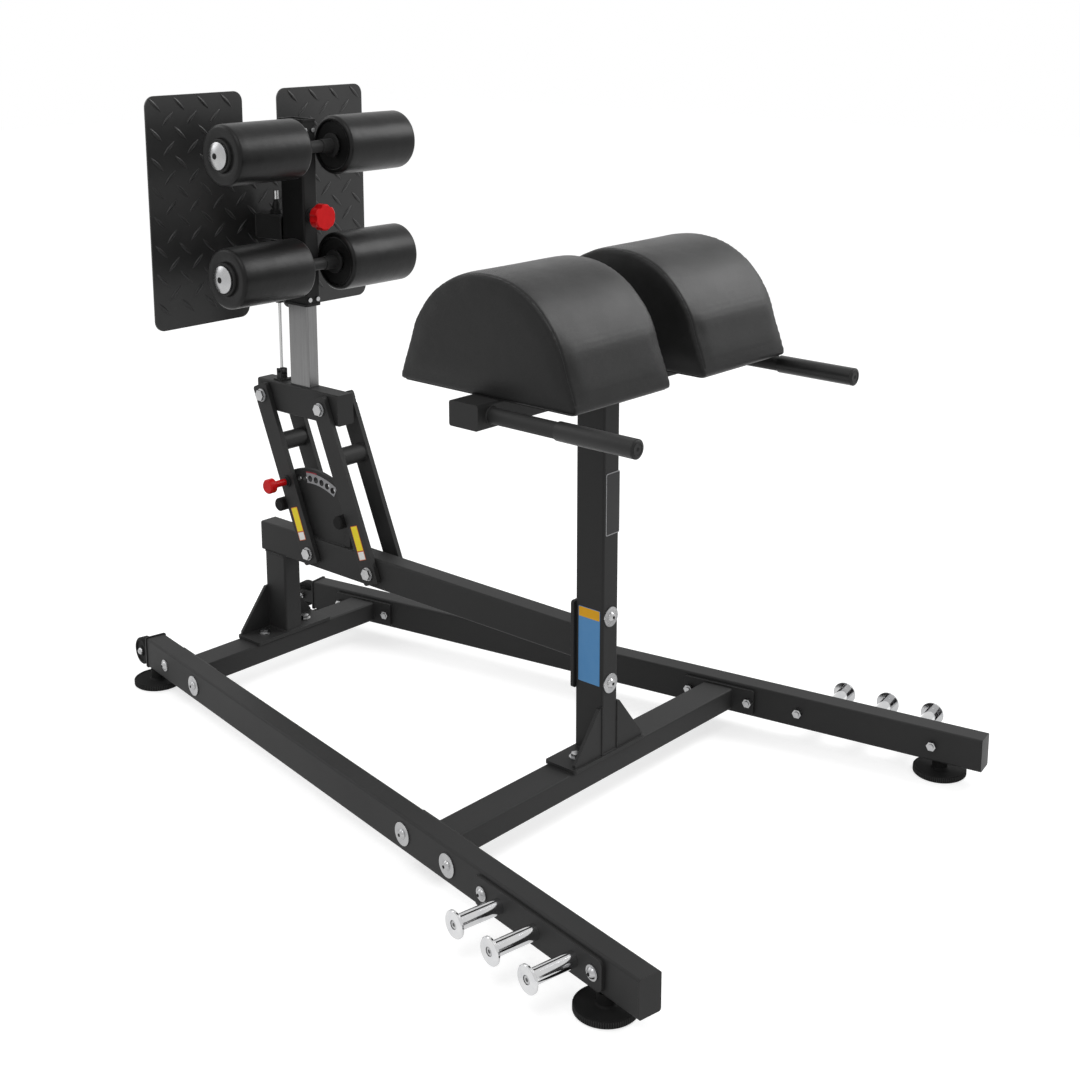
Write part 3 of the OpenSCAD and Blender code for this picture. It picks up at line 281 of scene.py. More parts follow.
rubbed_edges = make_edge_highlight_wear()
fine_grain = make_fine_grain()
handling = make_handling()
hide_grain = make_hide_grain()
drawn_streaks = make_drawn_streaks()


# Finishes

DRAWN_DEPTH = mm(0.03)
COAT_EDGE = mm(0.2)


def grey(level):
    return (level, level, level, 1.0)


class Finish(Graph):
    """A new material: marks are its (size, scuffs), edges its (radius, patch), fixed its even values."""

    def __init__(self, name, marks=None, edges=None, **fixed):
        self.material = bpy.data.materials.new(name)
        self.material.use_nodes = True
        super().__init__(self.material.node_tree)
        self.shader = self.tree.nodes["Principled BSDF"].inputs
        for socket, value in fixed.items():
            self.shader[socket.replace("_", " ")].default_value = value
        if marks:
            found = self.use(handling, Size=marks[0], Scuffs=marks[1])
            self.cloud, self.scuff = found["Cloud"], found["Scuff"]
        if edges:
            found = self.use(rubbed_edges, Radius=edges[0], Patch=edges[1])
            self.rounded, self.rubbed = found["Normal"], found["Rubbed"]

    def over(self, body, mask, most, colour):
        """body, with a colour laid over it by a mask, at most as far as most."""
        return self.blend(self.times(mask, most), body, colour)

    def grained(self, size, depth, normal=None):
        """Fine grain laid over a normal, or over the rounded edges."""
        under = self.rounded if normal is None else normal
        return self.bumped(self.use(fine_grain, Size=size)["Height"], depth, under)

    def done(self, colour, rough, normal):
        for socket, value in (("Base Color", colour), ("Roughness", rough), ("Normal", normal)):
            self.feed(self.shader[socket], value)
        return self.material


def powder_coat(name, base=0.021, rough=0.55, shine=0.2, grain=0.0011, depth=0.00006):
    """Black powder coat: fine orange peel, cloudy gloss, and edges painted a little paler, as rubbed wear
    and a painted highlight together.
    """
    f = Finish(name, (0.16, 0.35), (0.0012, 0.03), Specular_IOR_Level=shine)
    body = f.blend(f.cloud, grey(base * 0.85), grey(base * 1.15))
    # Edges painted paler: partly rubbed wear, partly a painted highlight.
    body = f.over(body, f.rubbed, 0.55, grey(0.085))
    body = f.over(body, f.scuff, 0.5, grey(0.06))
    gloss = f.math("SUBTRACT", f.between(f.cloud, rough - 0.04, rough + 0.05), f.times(f.rubbed, 0.12))
    return f.done(body, gloss, f.grained(grain, depth))


def moulded_black(name, base=0.015, rough=0.5):
    """Moulded black plastic: spark-eroded grain, with a faint painted sheen on its edges that is partly
    rubbed wear.
    """
    f = Finish(name, (0.09, 0.25), (0.0008, 0.02), Specular_IOR_Level=0.22)
    body = f.blend(f.cloud, grey(base * 0.85), grey(base * 1.2))
    # Edges painted paler: partly rubbed wear, partly a painted highlight.
    body = f.over(body, f.rubbed, 0.4, grey(0.07))
    return f.done(body, f.between(f.cloud, rough - 0.05, rough + 0.06), f.grained(0.0006, 0.00008))


def black_rubber(name, base=0.009):
    """Black rubber: matt, with a faint bloom in its tone."""
    f = Finish(name, (0.05, 0.5), (0.0015, 0.015), Specular_IOR_Level=0.1)
    bloom = f.shares(f.cloud, 0.5, f.scuff, 0.6)
    body = f.blend(bloom, grey(base * 0.8), grey(base * 1.9))
    # Edges painted paler: partly rubbed wear, partly a painted highlight.
    body = f.over(body, f.rubbed, 0.4, grey(0.06))
    return f.done(body, f.between(bloom, 0.62, 0.78), f.grained(0.0009, 0.0001))


def pad_vinyl(name):
    """Smooth black upholstery vinyl: pebbled hide grain and soft irregular ripples."""
    f = Finish(name, (0.14, 0.15), Specular_IOR_Level=0.2, Sheen_Weight=0.02, Sheen_Roughness=0.5)
    hide = f.use(hide_grain, Size=0.0013)
    ripple = f.noise(f.place(), 14.0, 3.0, 0.55)
    body = f.blend(hide["Tone"], grey(0.006), grey(0.011))
    body = f.over(body, f.cloud, 0.3, grey(0.014))
    rough = f.math("SUBTRACT", f.spread(ripple, 0.3, 0.7, 0.38, 0.44), f.times(hide["Tone"], 0.05))
    return f.done(body, rough, f.bumped(hide["Height"], 0.00012, f.bumped(ripple, 0.0009)))


def roller_skin(name, base=0.005, shine=0.19):
    """Matt black skin of a foam roller: close pores and slow unevenness."""
    f = Finish(name, (0.1, 0.2), Specular_IOR_Level=shine, Sheen_Weight=0.03, Sheen_Roughness=0.45)
    body = f.blend(f.cloud, grey(base * 0.8), grey(base * 1.25))
    body = f.over(body, f.scuff, 0.3, grey(base * 2.2))
    slow = f.bumped(f.noise(f.place(), 26.0), 0.0008)
    return f.done(body, f.between(f.cloud, 0.3, 0.38), f.grained(0.0008, 0.00012, slow))


def plated_steel(name, tint=0.42, rough=0.28):
    """Bright plating on bolts, caps and pegs: hazy patches over a fine grain."""
    f = Finish(name, (0.02, 0.6), (0.0006, 0.01), Metallic=1.0)
    haze = f.shares(f.cloud, 0.7, f.scuff, 0.5)
    body = f.blend(haze, grey(tint), (tint * 0.84, tint * 0.85, tint * 0.88, 1.0))
    return f.done(body, f.between(haze, rough - 0.06, rough + 0.1), f.grained(0.0015, 0.00004))


def satin_steel(name):
    """Satin post: lines drawn along its length, and a soft cloud of wear."""
    f = Finish(name, (0.12, 0.3), (0.001, 0.02), Metallic=1.0)
    drawn = f.use(drawn_streaks)
    body = f.blend(drawn["Tone"], grey(0.165), grey(0.2))
    body = f.over(body, f.cloud, 0.3, grey(0.15))
    normal = f.bumped(drawn["Height"], DRAWN_DEPTH, f.rounded)
    return f.done(body, f.between(drawn["Tone"], 0.42, 0.3), normal)


def knob_red(name):
    """Glossy red moulding with a faint flow pattern."""
    f = Finish(name, (0.02, 0.3), (0.0008, 0.008), Specular_IOR_Level=0.15)
    body = f.blend(f.cloud, (0.50, 0.004, 0.006, 1.0), (0.58, 0.007, 0.009, 1.0))
    # Edges painted paler red: partly rubbed wear, partly a painted highlight.
    body = f.over(body, f.rubbed, 0.35, (0.66, 0.06, 0.06, 1.0))
    return f.done(body, f.between(f.cloud, 0.3, 0.4), f.grained(0.0012, 0.00005))


def laminate(name, colour, faded):
    """A printed strip under clear laminate: even ink, faint mottle and dulled patches."""
    f = Finish(name, (0.02, 0.4), Specular_IOR_Level=0.2)
    share = f.shares(f.cloud, 0.4, f.noise(f.place(), 1800.0), 0.3)
    body = f.blend(share, (*colour, 1.0), (*faded, 1.0))
    normal = f.bumped(f.noise(f.place(), 900.0), 0.00004)
    return f.done(body, f.spread(share, 0.0, 0.7, 0.28, 0.42), normal)


def coat_then_steel(name, split):
    """Black coat up to a height, and drawn steel above it."""
    f = Finish(name, (0.05, 0.3), Specular_IOR_Level=0.2)
    height = f.node("ShaderNodeSeparateXYZ", {0: f.place()}).outputs["Z"]
    steel = f.spread(height, split - COAT_EDGE, split + COAT_EDGE)
    drawn = f.use(drawn_streaks)
    bare = f.blend(drawn["Tone"], grey(0.42), grey(0.55))
    coat = f.blend(f.cloud, grey(0.011), grey(0.016))
    f.feed(f.shader["Metallic"], steel)
    normal = f.bumped(drawn["Height"], DRAWN_DEPTH)
    return f.done(f.blend(steel, coat, bare), f.between(steel, 0.5, 0.25), normal)


FRAME_COAT = powder_coat("frame_coat")
PLATE_COAT = powder_coat("plate_coat", base=0.014, rough=0.36, shine=0.4, grain=0.0014, depth=0.00008)
# The sleeve's coat is a darker copy of the frame coat: painted shade, as the rollers shade the sleeve.
SLEEVE_SHADE_COAT = powder_coat("sleeve_coat", base=0.007, rough=0.5)
MOULDED = moulded_black("moulded_black")
RUBBER = black_rubber("black_rubber")
# A paler copy of the black rubber for the foot rim ribs: a painted highlight.
RIM_RUBBER_LIT = black_rubber("rim_rubber", 0.03)
GRIP_FOAM = roller_skin("grip_skin", 0.014, 0.3)
# A near-black copy of the moulded plastic for the rollers' dished inner ends: painted shade.
ROLLER_INSIDE_SHADE = moulded_black("roller_inside", 0.004, 0.6)
# Near-black plastic for thin plates and discs that stand in for shaded recesses: painted shade.
SOCKET_SHADE = moulded_black("socket_dark", 0.002, 0.7)
PAD_VINYL = pad_vinyl("pad_vinyl")
ROLLER_SKIN = roller_skin("roller_skin")
PLATED = plated_steel("plated_steel")
PEG_CHROME = plated_steel("peg_chrome", 0.62, 0.1)
SATIN = satin_steel("satin_steel")
KNOB_RED = knob_red("knob_red")
STRIP_YELLOW = laminate("strip_yellow", (0.88, 0.70, 0.015), (0.82, 0.68, 0.04))
STRIP_EDGE = laminate("strip_edge", (0.62, 0.13, 0.03), (0.52, 0.14, 0.06))
STRIP_WHITE = laminate("strip_white", (0.82, 0.82, 0.80), (0.72, 0.72, 0.70))
PLACARD_BLUE = laminate("placard_blue", (0.095, 0.28, 0.56), (0.12, 0.31, 0.58))
PLACARD_AMBER = laminate("placard_amber", (0.82, 0.40, 0.006), (0.76, 0.40, 0.02))
BADGE_BLANK = laminate("badge_blank", (0.02, 0.02, 0.021), (0.03, 0.03, 0.031))
BADGE_LINE = laminate("badge_line", (0.42, 0.42, 0.43), (0.34, 0.34, 0.35))
SCALE_GREY = laminate("scale_grey", (0.30, 0.30, 0.31), (0.24, 0.24, 0.25))
SCALE_RED = laminate("scale_red", (0.30, 0.03, 0.04), (0.24, 0.04, 0.05))

SLOT_FINISH = {
    "frame_black": FRAME_COAT,
    "plastic_black": MOULDED,
    "rubber_black": RUBBER,
    "vinyl_black": PAD_VINYL,
    "bright_steel": PLATED,
    "satin_steel": SATIN,
    "red_plastic": KNOB_RED,
}
GAS_FORK_TOP = mm(788.5)
GAS_NUT_TOP = mm(1203)
NODE_FINISH = {
    "gas_rod": coat_then_steel("gas_rod", GAS_FORK_TOP),
    "gas_cylinder": coat_then_steel("gas_cylinder", GAS_NUT_TOP),
    "foot_plate": PLATE_COAT,
    "grips": GRIP_FOAM,
    "band_pegs": PEG_CHROME,
    "sleeve": SLEEVE_SHADE_COAT,
    "sleeve_liners": SLEEVE_SHADE_COAT,
}


def dress_cad_nodes():
    """Each CAD node takes the finish of its slot, or one of its own."""
    for name, node in cad_nodes.items():
        for slot in node.material_slots:
            wanted = SLOT_FINISH[slot.material.name.split(".")[0]]
            slot.link = "OBJECT"
            slot.material = NODE_FINISH.get(name, wanted)


# Making pieces

UP = Vector((0, 0, 1))
FRONT = Vector((1, 0, 0))
LEFT = Vector((0, 1, 0))
FOUR_CORNERS = ((-1, -1), (1, -1), (1, 1), (-1, 1))
LATHE_STEPS = 96
SHARP_ANGLE = 40


def new_piece(name, mesh, body, material, smooth=True):
    """A finished piece at the origin, riding on a body: mesh is its mesh, or a list that becomes one."""
    if isinstance(mesh, list):
        mesh = joined(name, mesh)
    piece = added(name, mesh)
    if material is not None:
        mesh.materials.clear()
        mesh.materials.append(material)
    mesh.polygons.foreach_set("use_smooth", [smooth] * len(mesh.polygons))
    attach(piece, body)
    return piece


def mesh_of(name, points, faces=(), edges=()):
    mesh = bpy.data.meshes.new(name)
    mesh.from_pydata([tuple(p) for p in points], edges, faces)
    mesh.validate()
    mesh.update()
    return mesh


def outward(mesh):
    """Merges doubles, then turns every face outwards."""
    shape = bmesh.new()
    shape.from_mesh(mesh)
    bmesh.ops.remove_doubles(shape, verts=shape.verts, dist=1e-6)
    bmesh.ops.recalc_face_normals(shape, faces=shape.faces)
    shape.to_mesh(mesh)
    shape.free()
    mesh.update()


def plate_between(name, outline, away, thick):
    """A thin plate: outline's points lie on the carrying face, and it stands thick off that face."""
    count = len(outline)
    lift = away.normalized() * thick
    points = [Vector(p) for p in outline] + [Vector(p) + lift for p in outline]
    faces = [tuple(range(count)), tuple(range(2 * count - 1, count - 1, -1))]
    faces += [(k, (k + 1) % count, (k + 1) % count + count, k + count) for k in range(count)]
    mesh = mesh_of(name, points, faces)
    outward(mesh)
    return mesh


def joined(name, meshes):
    """Several meshes as one."""
    shape = bmesh.new()
    for mesh in meshes:
        shape.from_mesh(mesh)
    whole = bpy.data.meshes.new(name)
    shape.to_mesh(whole)
    shape.free()
    return whole


def rounded_quad(corners, radius, steps=5):
    """The outline of a four-cornered plate, with its corners rounded."""
    outline = []
    for k, corner in enumerate(corners):
        corner = Vector(corner)
        before = (Vector(corners[k - 1]) - corner).normalized() * radius
        after = (Vector(corners[(k + 1) % 4]) - corner).normalized() * radius
        for s in range(steps + 1):
            t = s / steps
            outline.append(corner + before * (1 - t) ** 2 + after * t**2)
    return outline


def lathe(name, profile, axle, steps=LATHE_STEPS):
    """A closed profile of (radius, along) points, turned round a line along Y through axle."""
    points, faces = [], []
    for k in range(steps):
        a = 2 * math.pi * k / steps
        points += [(axle.x + r * math.cos(a), along, axle.z + r * math.sin(a)) for r, along in profile]
    count = len(profile)
    for k in range(steps):
        after = (k + 1) % steps
        for p in range(count):
            q = (p + 1) % count
            faces.append((k * count + p, k * count + q, after * count + q, after * count + p))
    mesh = mesh_of(name, points, faces)
    outward(mesh)
    mesh.polygons.foreach_set("use_smooth", [True] * len(mesh.polygons))
    mesh.set_sharp_from_angle(angle=math.radians(SHARP_ANGLE))
    return mesh


# Geometry Nodes


class Growth(Group):
    """A geometry node tree with named inputs, which ends in real faces with a material."""

    def __init__(self, name, inputs):
        super().__init__(name, "GeometryNodeTree")
        self.socket("Geometry", "INPUT", SHAPE)
        self.inputs(inputs)
        self.socket("Material", "INPUT", MATERIAL)
        self.socket("Geometry", "OUTPUT", SHAPE)
        self.open()

    def ball(self, segments, rings, radius):
        feeds = {"Segments": segments, "Rings": rings, "Radius": radius}
        return self.node("GeometryNodeMeshUVSphere", feeds).outputs["Mesh"]

    def prism(self, sides, radius, height):
        feeds = {"Vertices": sides, "Radius": radius, "Depth": height}
        return self.node("GeometryNodeMeshCylinder", feeds).outputs["Mesh"]

    def points(self):
        return self.node("GeometryNodeMeshToPoints", {"Mesh": self.inp["Geometry"]}).outputs[0]

    def turns(self):
        """The angles that each of the carrier's points holds for its own copy."""
        feeds = {"Name": "turn"}
        return self.node("GeometryNodeInputNamedAttribute", feeds, data_type="FLOAT_VECTOR").outputs[0]

    def end(self, points, instance, **feeds):
        """A copy of instance on each point, as real faces with the material."""
        feeds = {"Points": points, "Instance": instance, **feeds}
        copies = self.node("GeometryNodeInstanceOnPoints", feeds).outputs[0]
        real = self.node("GeometryNodeRealizeInstances", {"Geometry": copies}).outputs[0]
        feeds = {"Geometry": real, "Material": self.inp["Material"]}
        self.feed(self.out["Geometry"], self.node("GeometryNodeSetMaterial", feeds).outputs[0])
        return self.tree


def grow(name, body, slot, tree, points, edges=(), turns=(), smooth=True, **values):
    """A piece that a node tree makes on points, each with its own turn, or along edges between them."""
    carrier = mesh_of(name + "_carrier", points, edges=edges)
    if turns:
        angles = [angle for turn in turns for angle in turn]
        carrier.attributes.new("turn", "FLOAT_VECTOR", "POINT").data.foreach_set("vector", angles)
    host = added(name + "_carrier", carrier)
    modifier = host.modifiers.new("grow", "NODES")
    modifier.node_group = tree
    for item in tree.interface.items_tree:
        if item.in_out == "INPUT" and item.name in values:
            modifier[item.identifier] = values[item.name]
    host.update_tag()
    mesh = settled_mesh(host)
    mesh.name = name
    bpy.data.objects.remove(host)
    new_piece(name, mesh, body, None, smooth)


def path_edges(paths):
    """The points of several (points, closed) paths in one list, and the edges between them."""
    points, edges = [], []
    for path, closed in paths:
        first = len(points)
        points += path
        edges += [(k, k + 1) for k in range(first, len(points) - 1)]
        if closed:
            edges.append((len(points) - 1, first))
    return points, edges


def make_tread_growth():
    """Raised lens-shaped marks on the carrier's points, each turned by the point's own angle."""
    g = Growth("tread_marks", {"Length": 0.04, "Width": 0.008, "Height": 0.0012})
    place = g.node("GeometryNodeInputPosition").outputs[0]
    parts = g.node("ShaderNodeSeparateXYZ", {0: place}).outputs
    along = parts["X"]
    taper = g.math("SUBTRACT", 1.0, g.times(g.math("POWER", g.math("ABSOLUTE", along), 2.0), 0.55))
    x = g.times(along, g.times(g.inp["Length"], 0.5))
    y = g.times(g.times(parts["Y"], g.times(g.inp["Width"], 0.5)), taper)
    z = g.times(g.times(parts["Z"], g.inp["Height"]), taper)
    shaped = g.node("ShaderNodeCombineXYZ", {0: z, 1: x, 2: y}).outputs[0]
    feeds = {"Geometry": g.ball(16, 7, 1.0), "Position": shaped}
    mark = g.node("GeometryNodeSetPosition", feeds).outputs[0]
    return g.end(g.points(), mark, Rotation=g.turns())


def make_stitch_growth():
    """Short thread stitches in a row along the carrier's edges."""
    g = Growth("seam_stitches", {"Pitch": 0.004, "Length": 0.0028, "Thread": 0.0005})
    line = g.node("GeometryNodeMeshToCurve", {"Mesh": g.inp["Geometry"]}).outputs[0]
    feeds = {"Curve": line, "Length": g.inp["Pitch"]}
    row = g.node("GeometryNodeCurveToPoints", feeds, mode="LENGTH").outputs
    feeds = {0: g.inp["Thread"], 1: g.inp["Thread"], 2: g.inp["Length"]}
    size = g.node("ShaderNodeCombineXYZ", feeds).outputs[0]
    stitch = g.node("GeometryNodeTransform", {"Geometry": g.ball(8, 5, 0.5), "Scale": size}).outputs[0]
    return g.end(row["Points"], stitch, Rotation=row["Rotation"])


def make_rim_rib_growth():
    """Small upright ribs on the carrier's points."""
    g = Growth("rim_ribs", {"Width": 0.002, "Height": 0.012})
    return g.end(g.points(), g.prism(8, g.times(g.inp["Width"], 0.5), g.inp["Height"]))


def make_socket_growth():
    """Small six-sided plates on the carrier's points, each turned to face as its point says."""
    g = Growth("bolt_sockets", {"Radius": 0.004, "Height": 0.001})
    return g.end(g.points(), g.prism(6, g.inp["Radius"], g.inp["Height"]), Rotation=g.turns())


TREAD_MARKS = make_tread_growth()
STITCHES = make_stitch_growth()
RIM_RIBS = make_rim_rib_growth()
SOCKETS = make_socket_growth()


# Foot plate tread

MARK_PITCH = mm(67)
MARK_DROP = mm(20)
MARK_COLUMNS = 10
MARK_LENGTH = mm(47)
MARK_WIDTH = mm(9)
MARK_HEIGHT = mm(2.2)
MARK_LEAN = math.pi / 4
MARK_MARGIN = mm(2)
PLATE_CORNER = mm(25)
NOTCH_HALF = mm(53)
NOTCH_DEEP = mm(140)


def on_foot_plate(y, z, low, high, margin):
    """True if a spot on the foot plate lies on steel, at least margin from its edge."""
    if not (low.y + margin < y < high.y - margin and low.z + margin < z < high.z - margin):
        return False
    in_notch_rows = z < low.z + NOTCH_DEEP + margin or z > high.z - NOTCH_DEEP - margin
    if in_notch_rows and abs(y) < NOTCH_HALF + margin:
        return False
    corner_y = max(abs(y) - (high.y - PLATE_CORNER), 0)
    corner_z = max(abs(z - (low.z + high.z) / 2) - ((high.z - low.z) / 2 - PLATE_CORNER), 0)
    return math.hypot(corner_y, corner_z) < PLATE_CORNER - margin


def foot_plate_tread():
    """The raised marks of tread plate, on the side that faces the rollers."""
    low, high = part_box("foot_plate")
    room = MARK_LENGTH / 2 * math.sin(MARK_LEAN) + MARK_MARGIN
    rows = int((high.z - low.z) / MARK_PITCH) + 1
    leaning_back = (MARK_COLUMNS, MARK_DROP, -MARK_LEAN)
    leaning_on = (MARK_COLUMNS - 1, MARK_DROP + MARK_PITCH / 2, MARK_LEAN)
    spots, turns = [], []
    for columns, drop, turn in (leaning_back, leaning_on):
        for i in range(columns):
            for j in range(rows):
                y = (i - (columns - 1) / 2) * MARK_PITCH
                z = high.z - drop - j * MARK_PITCH
                if on_foot_plate(y, z, low, high, room):
                    spots.append((high.x, y, z))
                    turns.append((turn, 0, 0))
    sizes = {"Length": MARK_LENGTH, "Width": MARK_WIDTH, "Height": MARK_HEIGHT, "Material": PLATE_COAT}
    grow("foot_plate_tread", "slider", "frame_black", TREAD_MARKS, spots, turns=turns, **sizes)


# Thigh pads

PAD_TOP_RADIUS = mm(210)
PAD_TOP_CENTRE = mm(22)
PAD_FLANK_LEAN = 19
PAD_CORNER = mm(6)
PAD_WRAP = mm(9.6)
PAD_START_INSET = mm(3)
PAD_END_ROUNDING = mm(4)
PAD_SIDE_STEPS = 40
PAD_VOXEL = mm(5.2)
PAD_CAP = mm(4)
PAD_EASE = 12
PAD_BED = mm(9)
PAD_FRAMES = 20
PAD_STIFFNESS = 60
RIPPLE_DEPTH = mm(0.5)
RIPPLE_SCALE = Vector((16, 9, 16))
SEAM_INSET = mm(5)
SEAM_DEPTH = mm(1.4)
SEAM_HALF_WIDTH = mm(2.6)
SEAM_REACH = mm(12)
SEAM_STEPS = 90
SEAM_START = -4
SEAM_SPAN = 188
SEAM_RAY = 1.5
STITCH_LIFT = mm(0.1)
STITCH = {"Pitch": mm(4.2), "Length": mm(3.2), "Thread": mm(0.7), "Material": GRIP_FOAM}


def pad_half_width(height):
    """Half the pad's width at a height over its board: leaning flanks, tangent to a round top."""
    lean = math.radians(PAD_FLANK_LEAN)
    joint = PAD_TOP_CENTRE + PAD_TOP_RADIUS * math.sin(lean)
    if height < joint:
        return PAD_TOP_RADIUS * math.cos(lean) + (joint - height) * math.tan(lean)
    return math.sqrt(max(PAD_TOP_RADIUS**2 - (height - PAD_TOP_CENTRE) ** 2, 0))


def pad_outline(inset):
    """The pad's section as (x, z) points, from one rounded foot over the top to the other."""
    top, start = PAD_TOP_CENTRE + PAD_TOP_RADIUS, PAD_CORNER - PAD_WRAP
    side = []
    for k in range(PAD_SIDE_STEPS + 1):
        t = k / PAD_SIDE_STEPS
        height = start + (top - start) * math.sin(math.pi / 2 * t)
        side.append((pad_half_width(max(height, 0.0)) - inset * (1 - t), height - inset * t))
    foot = side[0][0]
    for t in (math.pi / 6, math.pi / 3, math.pi / 2):
        side.insert(0, (foot - PAD_CORNER * (1 - math.cos(t)), PAD_CORNER * (1 - math.sin(t)) - PAD_WRAP))
    return side + [(-x, z) for x, z in reversed(side[:-1])]


def raw_pad_mesh(low, high):
    """A closed shell a little smaller than the pad, from rounded end to rounded end."""
    middle = Vector(((low.x + high.x) / 2, 0, low.z))
    start, end = low.y + PAD_START_INSET, high.y - PAD_START_INSET
    stations = []
    for a in (math.pi / 2, math.pi / 3, math.pi / 6, 0):
        stations.append((start + PAD_END_ROUNDING * (1 - math.sin(a)), PAD_END_ROUNDING * (1 - math.cos(a))))
    stations += [(end - (y - start), inset) for y, inset in reversed(stations)]
    points, faces = [], []
    for y, inset in stations:
        points += [middle + Vector((x, y, z)) for x, z in pad_outline(PAD_START_INSET + inset)]
    count = len(points) // len(stations)
    for s in range(len(stations) - 1):
        for k in range(count):
            after = (k + 1) % count
            faces.append((s * count + k, s * count + after, (s + 1) * count + after, (s + 1) * count + k))
    faces.append(tuple(range(count)))
    faces.append(tuple(range(len(points) - 1, len(points) - 1 - count, -1)))
    mesh = mesh_of("thigh_pad_start", points, faces)
    outward(mesh)
    return mesh


def eased(mesh, steps):
    """Each point's step, averaged with its neighbours' several times, so that no crumple stays."""
    for _ in range(PAD_EASE):
        sums, shares = [step.copy() for step in steps], [1] * len(steps)
        for edge in mesh.edges:
            a, b = edge.vertices
            sums[a] += steps[b]
            sums[b] += steps[a]
            shares[a] += 1
            shares[b] += 1
        steps = [total / share for total, share in zip(sums, shares)]
    return steps


def puffed(piece, bed_height):
    """Cloth under pressure swells the shell: its foot is held, and no point may move past the cap."""
    mesh = piece.data
    start = [v.co.copy() for v in mesh.vertices]
    held = piece.vertex_groups.new(name="held")
    held.add([v.index for v in mesh.vertices if v.co.z < bed_height], 1.0, "REPLACE")
    cloth = piece.modifiers.new("puff", "CLOTH")
    cloth.settings.quality = 4
    cloth.settings.mass = 0.4
    cloth.settings.tension_stiffness = PAD_STIFFNESS
    cloth.settings.compression_stiffness = PAD_STIFFNESS
    cloth.settings.bending_stiffness = PAD_STIFFNESS / 3
    cloth.settings.use_pressure = True
    cloth.settings.uniform_pressure_force = 3
    cloth.settings.effector_weights.gravity = 0
    cloth.settings.vertex_group_mass = "held"
    cloth.collision_settings.use_collision = False
    cloth.point_cache.frame_start = 1
    cloth.point_cache.frame_end = PAD_FRAMES
    for step in range(1, PAD_FRAMES + 1):
        bpy.context.scene.frame_set(step)
    settled = piece.evaluated_get(bpy.context.evaluated_depsgraph_get())
    moved = [v.co.copy() for v in settled.data.vertices]
    piece.modifiers.clear()
    bpy.context.scene.frame_set(1)
    steps = []
    for before, after in zip(start, moved):
        step = after - before
        steps.append(step.normalized() * min(step.length, PAD_CAP))
    for vertex, step in zip(mesh.vertices, eased(mesh, steps)):
        vertex.co += step
    mesh.update()


def reshaped(piece, kind, **settings):
    """Gives piece the plain mesh that a modifier makes of it."""
    modifier = piece.modifiers.new("reshape", kind)
    for name, value in settings.items():
        setattr(modifier, name, value)
    mesh = settled_mesh(piece)
    piece.modifiers.clear()
    piece.data = mesh


def seam_places(low, high):
    return (low.y + SEAM_INSET + PAD_START_INSET, high.y - SEAM_INSET - PAD_START_INSET)


def press_seams(mesh, low, high):
    """Presses the sewn line round each end of the pad, and lays slow ripples over its top."""
    middle = Vector(((low.x + high.x) / 2, 0, low.z + PAD_TOP_CENTRE))
    for vertex in mesh.vertices:
        away = Vector((vertex.co.x - middle.x, 0, vertex.co.z - middle.z))
        if vertex.co.z < low.z + PAD_BED or away.length < PAD_TOP_RADIUS - SEAM_REACH:
            continue
        near = min(abs(vertex.co.y - seam) for seam in seam_places(low, high))
        pressed = SEAM_DEPTH * math.exp(-((near / SEAM_HALF_WIDTH) ** 2))
        wave = noise.noise(vertex.co * RIPPLE_SCALE)
        out = Vector((away.x, 0, max(away.z, 0))).normalized()
        vertex.co += out * (RIPPLE_DEPTH * wave - pressed)
    mesh.update()


def seam_line(mesh, low, high, y):
    """A row of points on the pad's skin along the seam at y."""
    tree = BVHTree.FromPolygons([v.co for v in mesh.vertices], [p.vertices for p in mesh.polygons])
    middle = Vector(((low.x + high.x) / 2, y, low.z + PAD_TOP_CENTRE))
    points = []
    for k in range(SEAM_STEPS + 1):
        t = math.radians(SEAM_START + SEAM_SPAN * k / SEAM_STEPS)
        out = Vector((math.cos(t), 0, math.sin(t)))
        hit = tree.ray_cast(middle + out * PAD_TOP_RADIUS * SEAM_RAY, -out)[0]
        if hit is not None:
            points.append(hit + out * STITCH_LIFT)
    return points


def thigh_pads():
    """One pad is swollen as cloth, and the other is its mirror image. Both have stitches on their seams."""
    low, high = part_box("thigh_pad_left")
    shell = added("thigh_pad_shell", raw_pad_mesh(low, high))
    reshaped(shell, "REMESH", mode="VOXEL", voxel_size=PAD_VOXEL)
    puffed(shell, low.z + PAD_BED)
    reshaped(shell, "SUBSURF", levels=1, render_levels=1)
    press_seams(shell.data, low, high)
    left = shell.data
    right = left.copy()
    right.transform(Matrix.Scale(-1, 4, LEFT))
    right.flip_normals()
    bpy.data.objects.remove(shell)
    for side, mesh in (("left", left), ("right", right)):
        cover = new_piece("thigh_pad_cover_" + side, mesh, "frame", PAD_VINYL)
        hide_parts("thigh_pad_" + side)
        low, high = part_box("thigh_pad_" + side)
        seams = [(seam_line(mesh, low, high, y), False) for y in seam_places(low, high)]
        points, edges = path_edges(seams)
        grow("thigh_pad_stitches_" + side, "frame", "vinyl_black", STITCHES, points, edges, **STITCH)


# Rollers

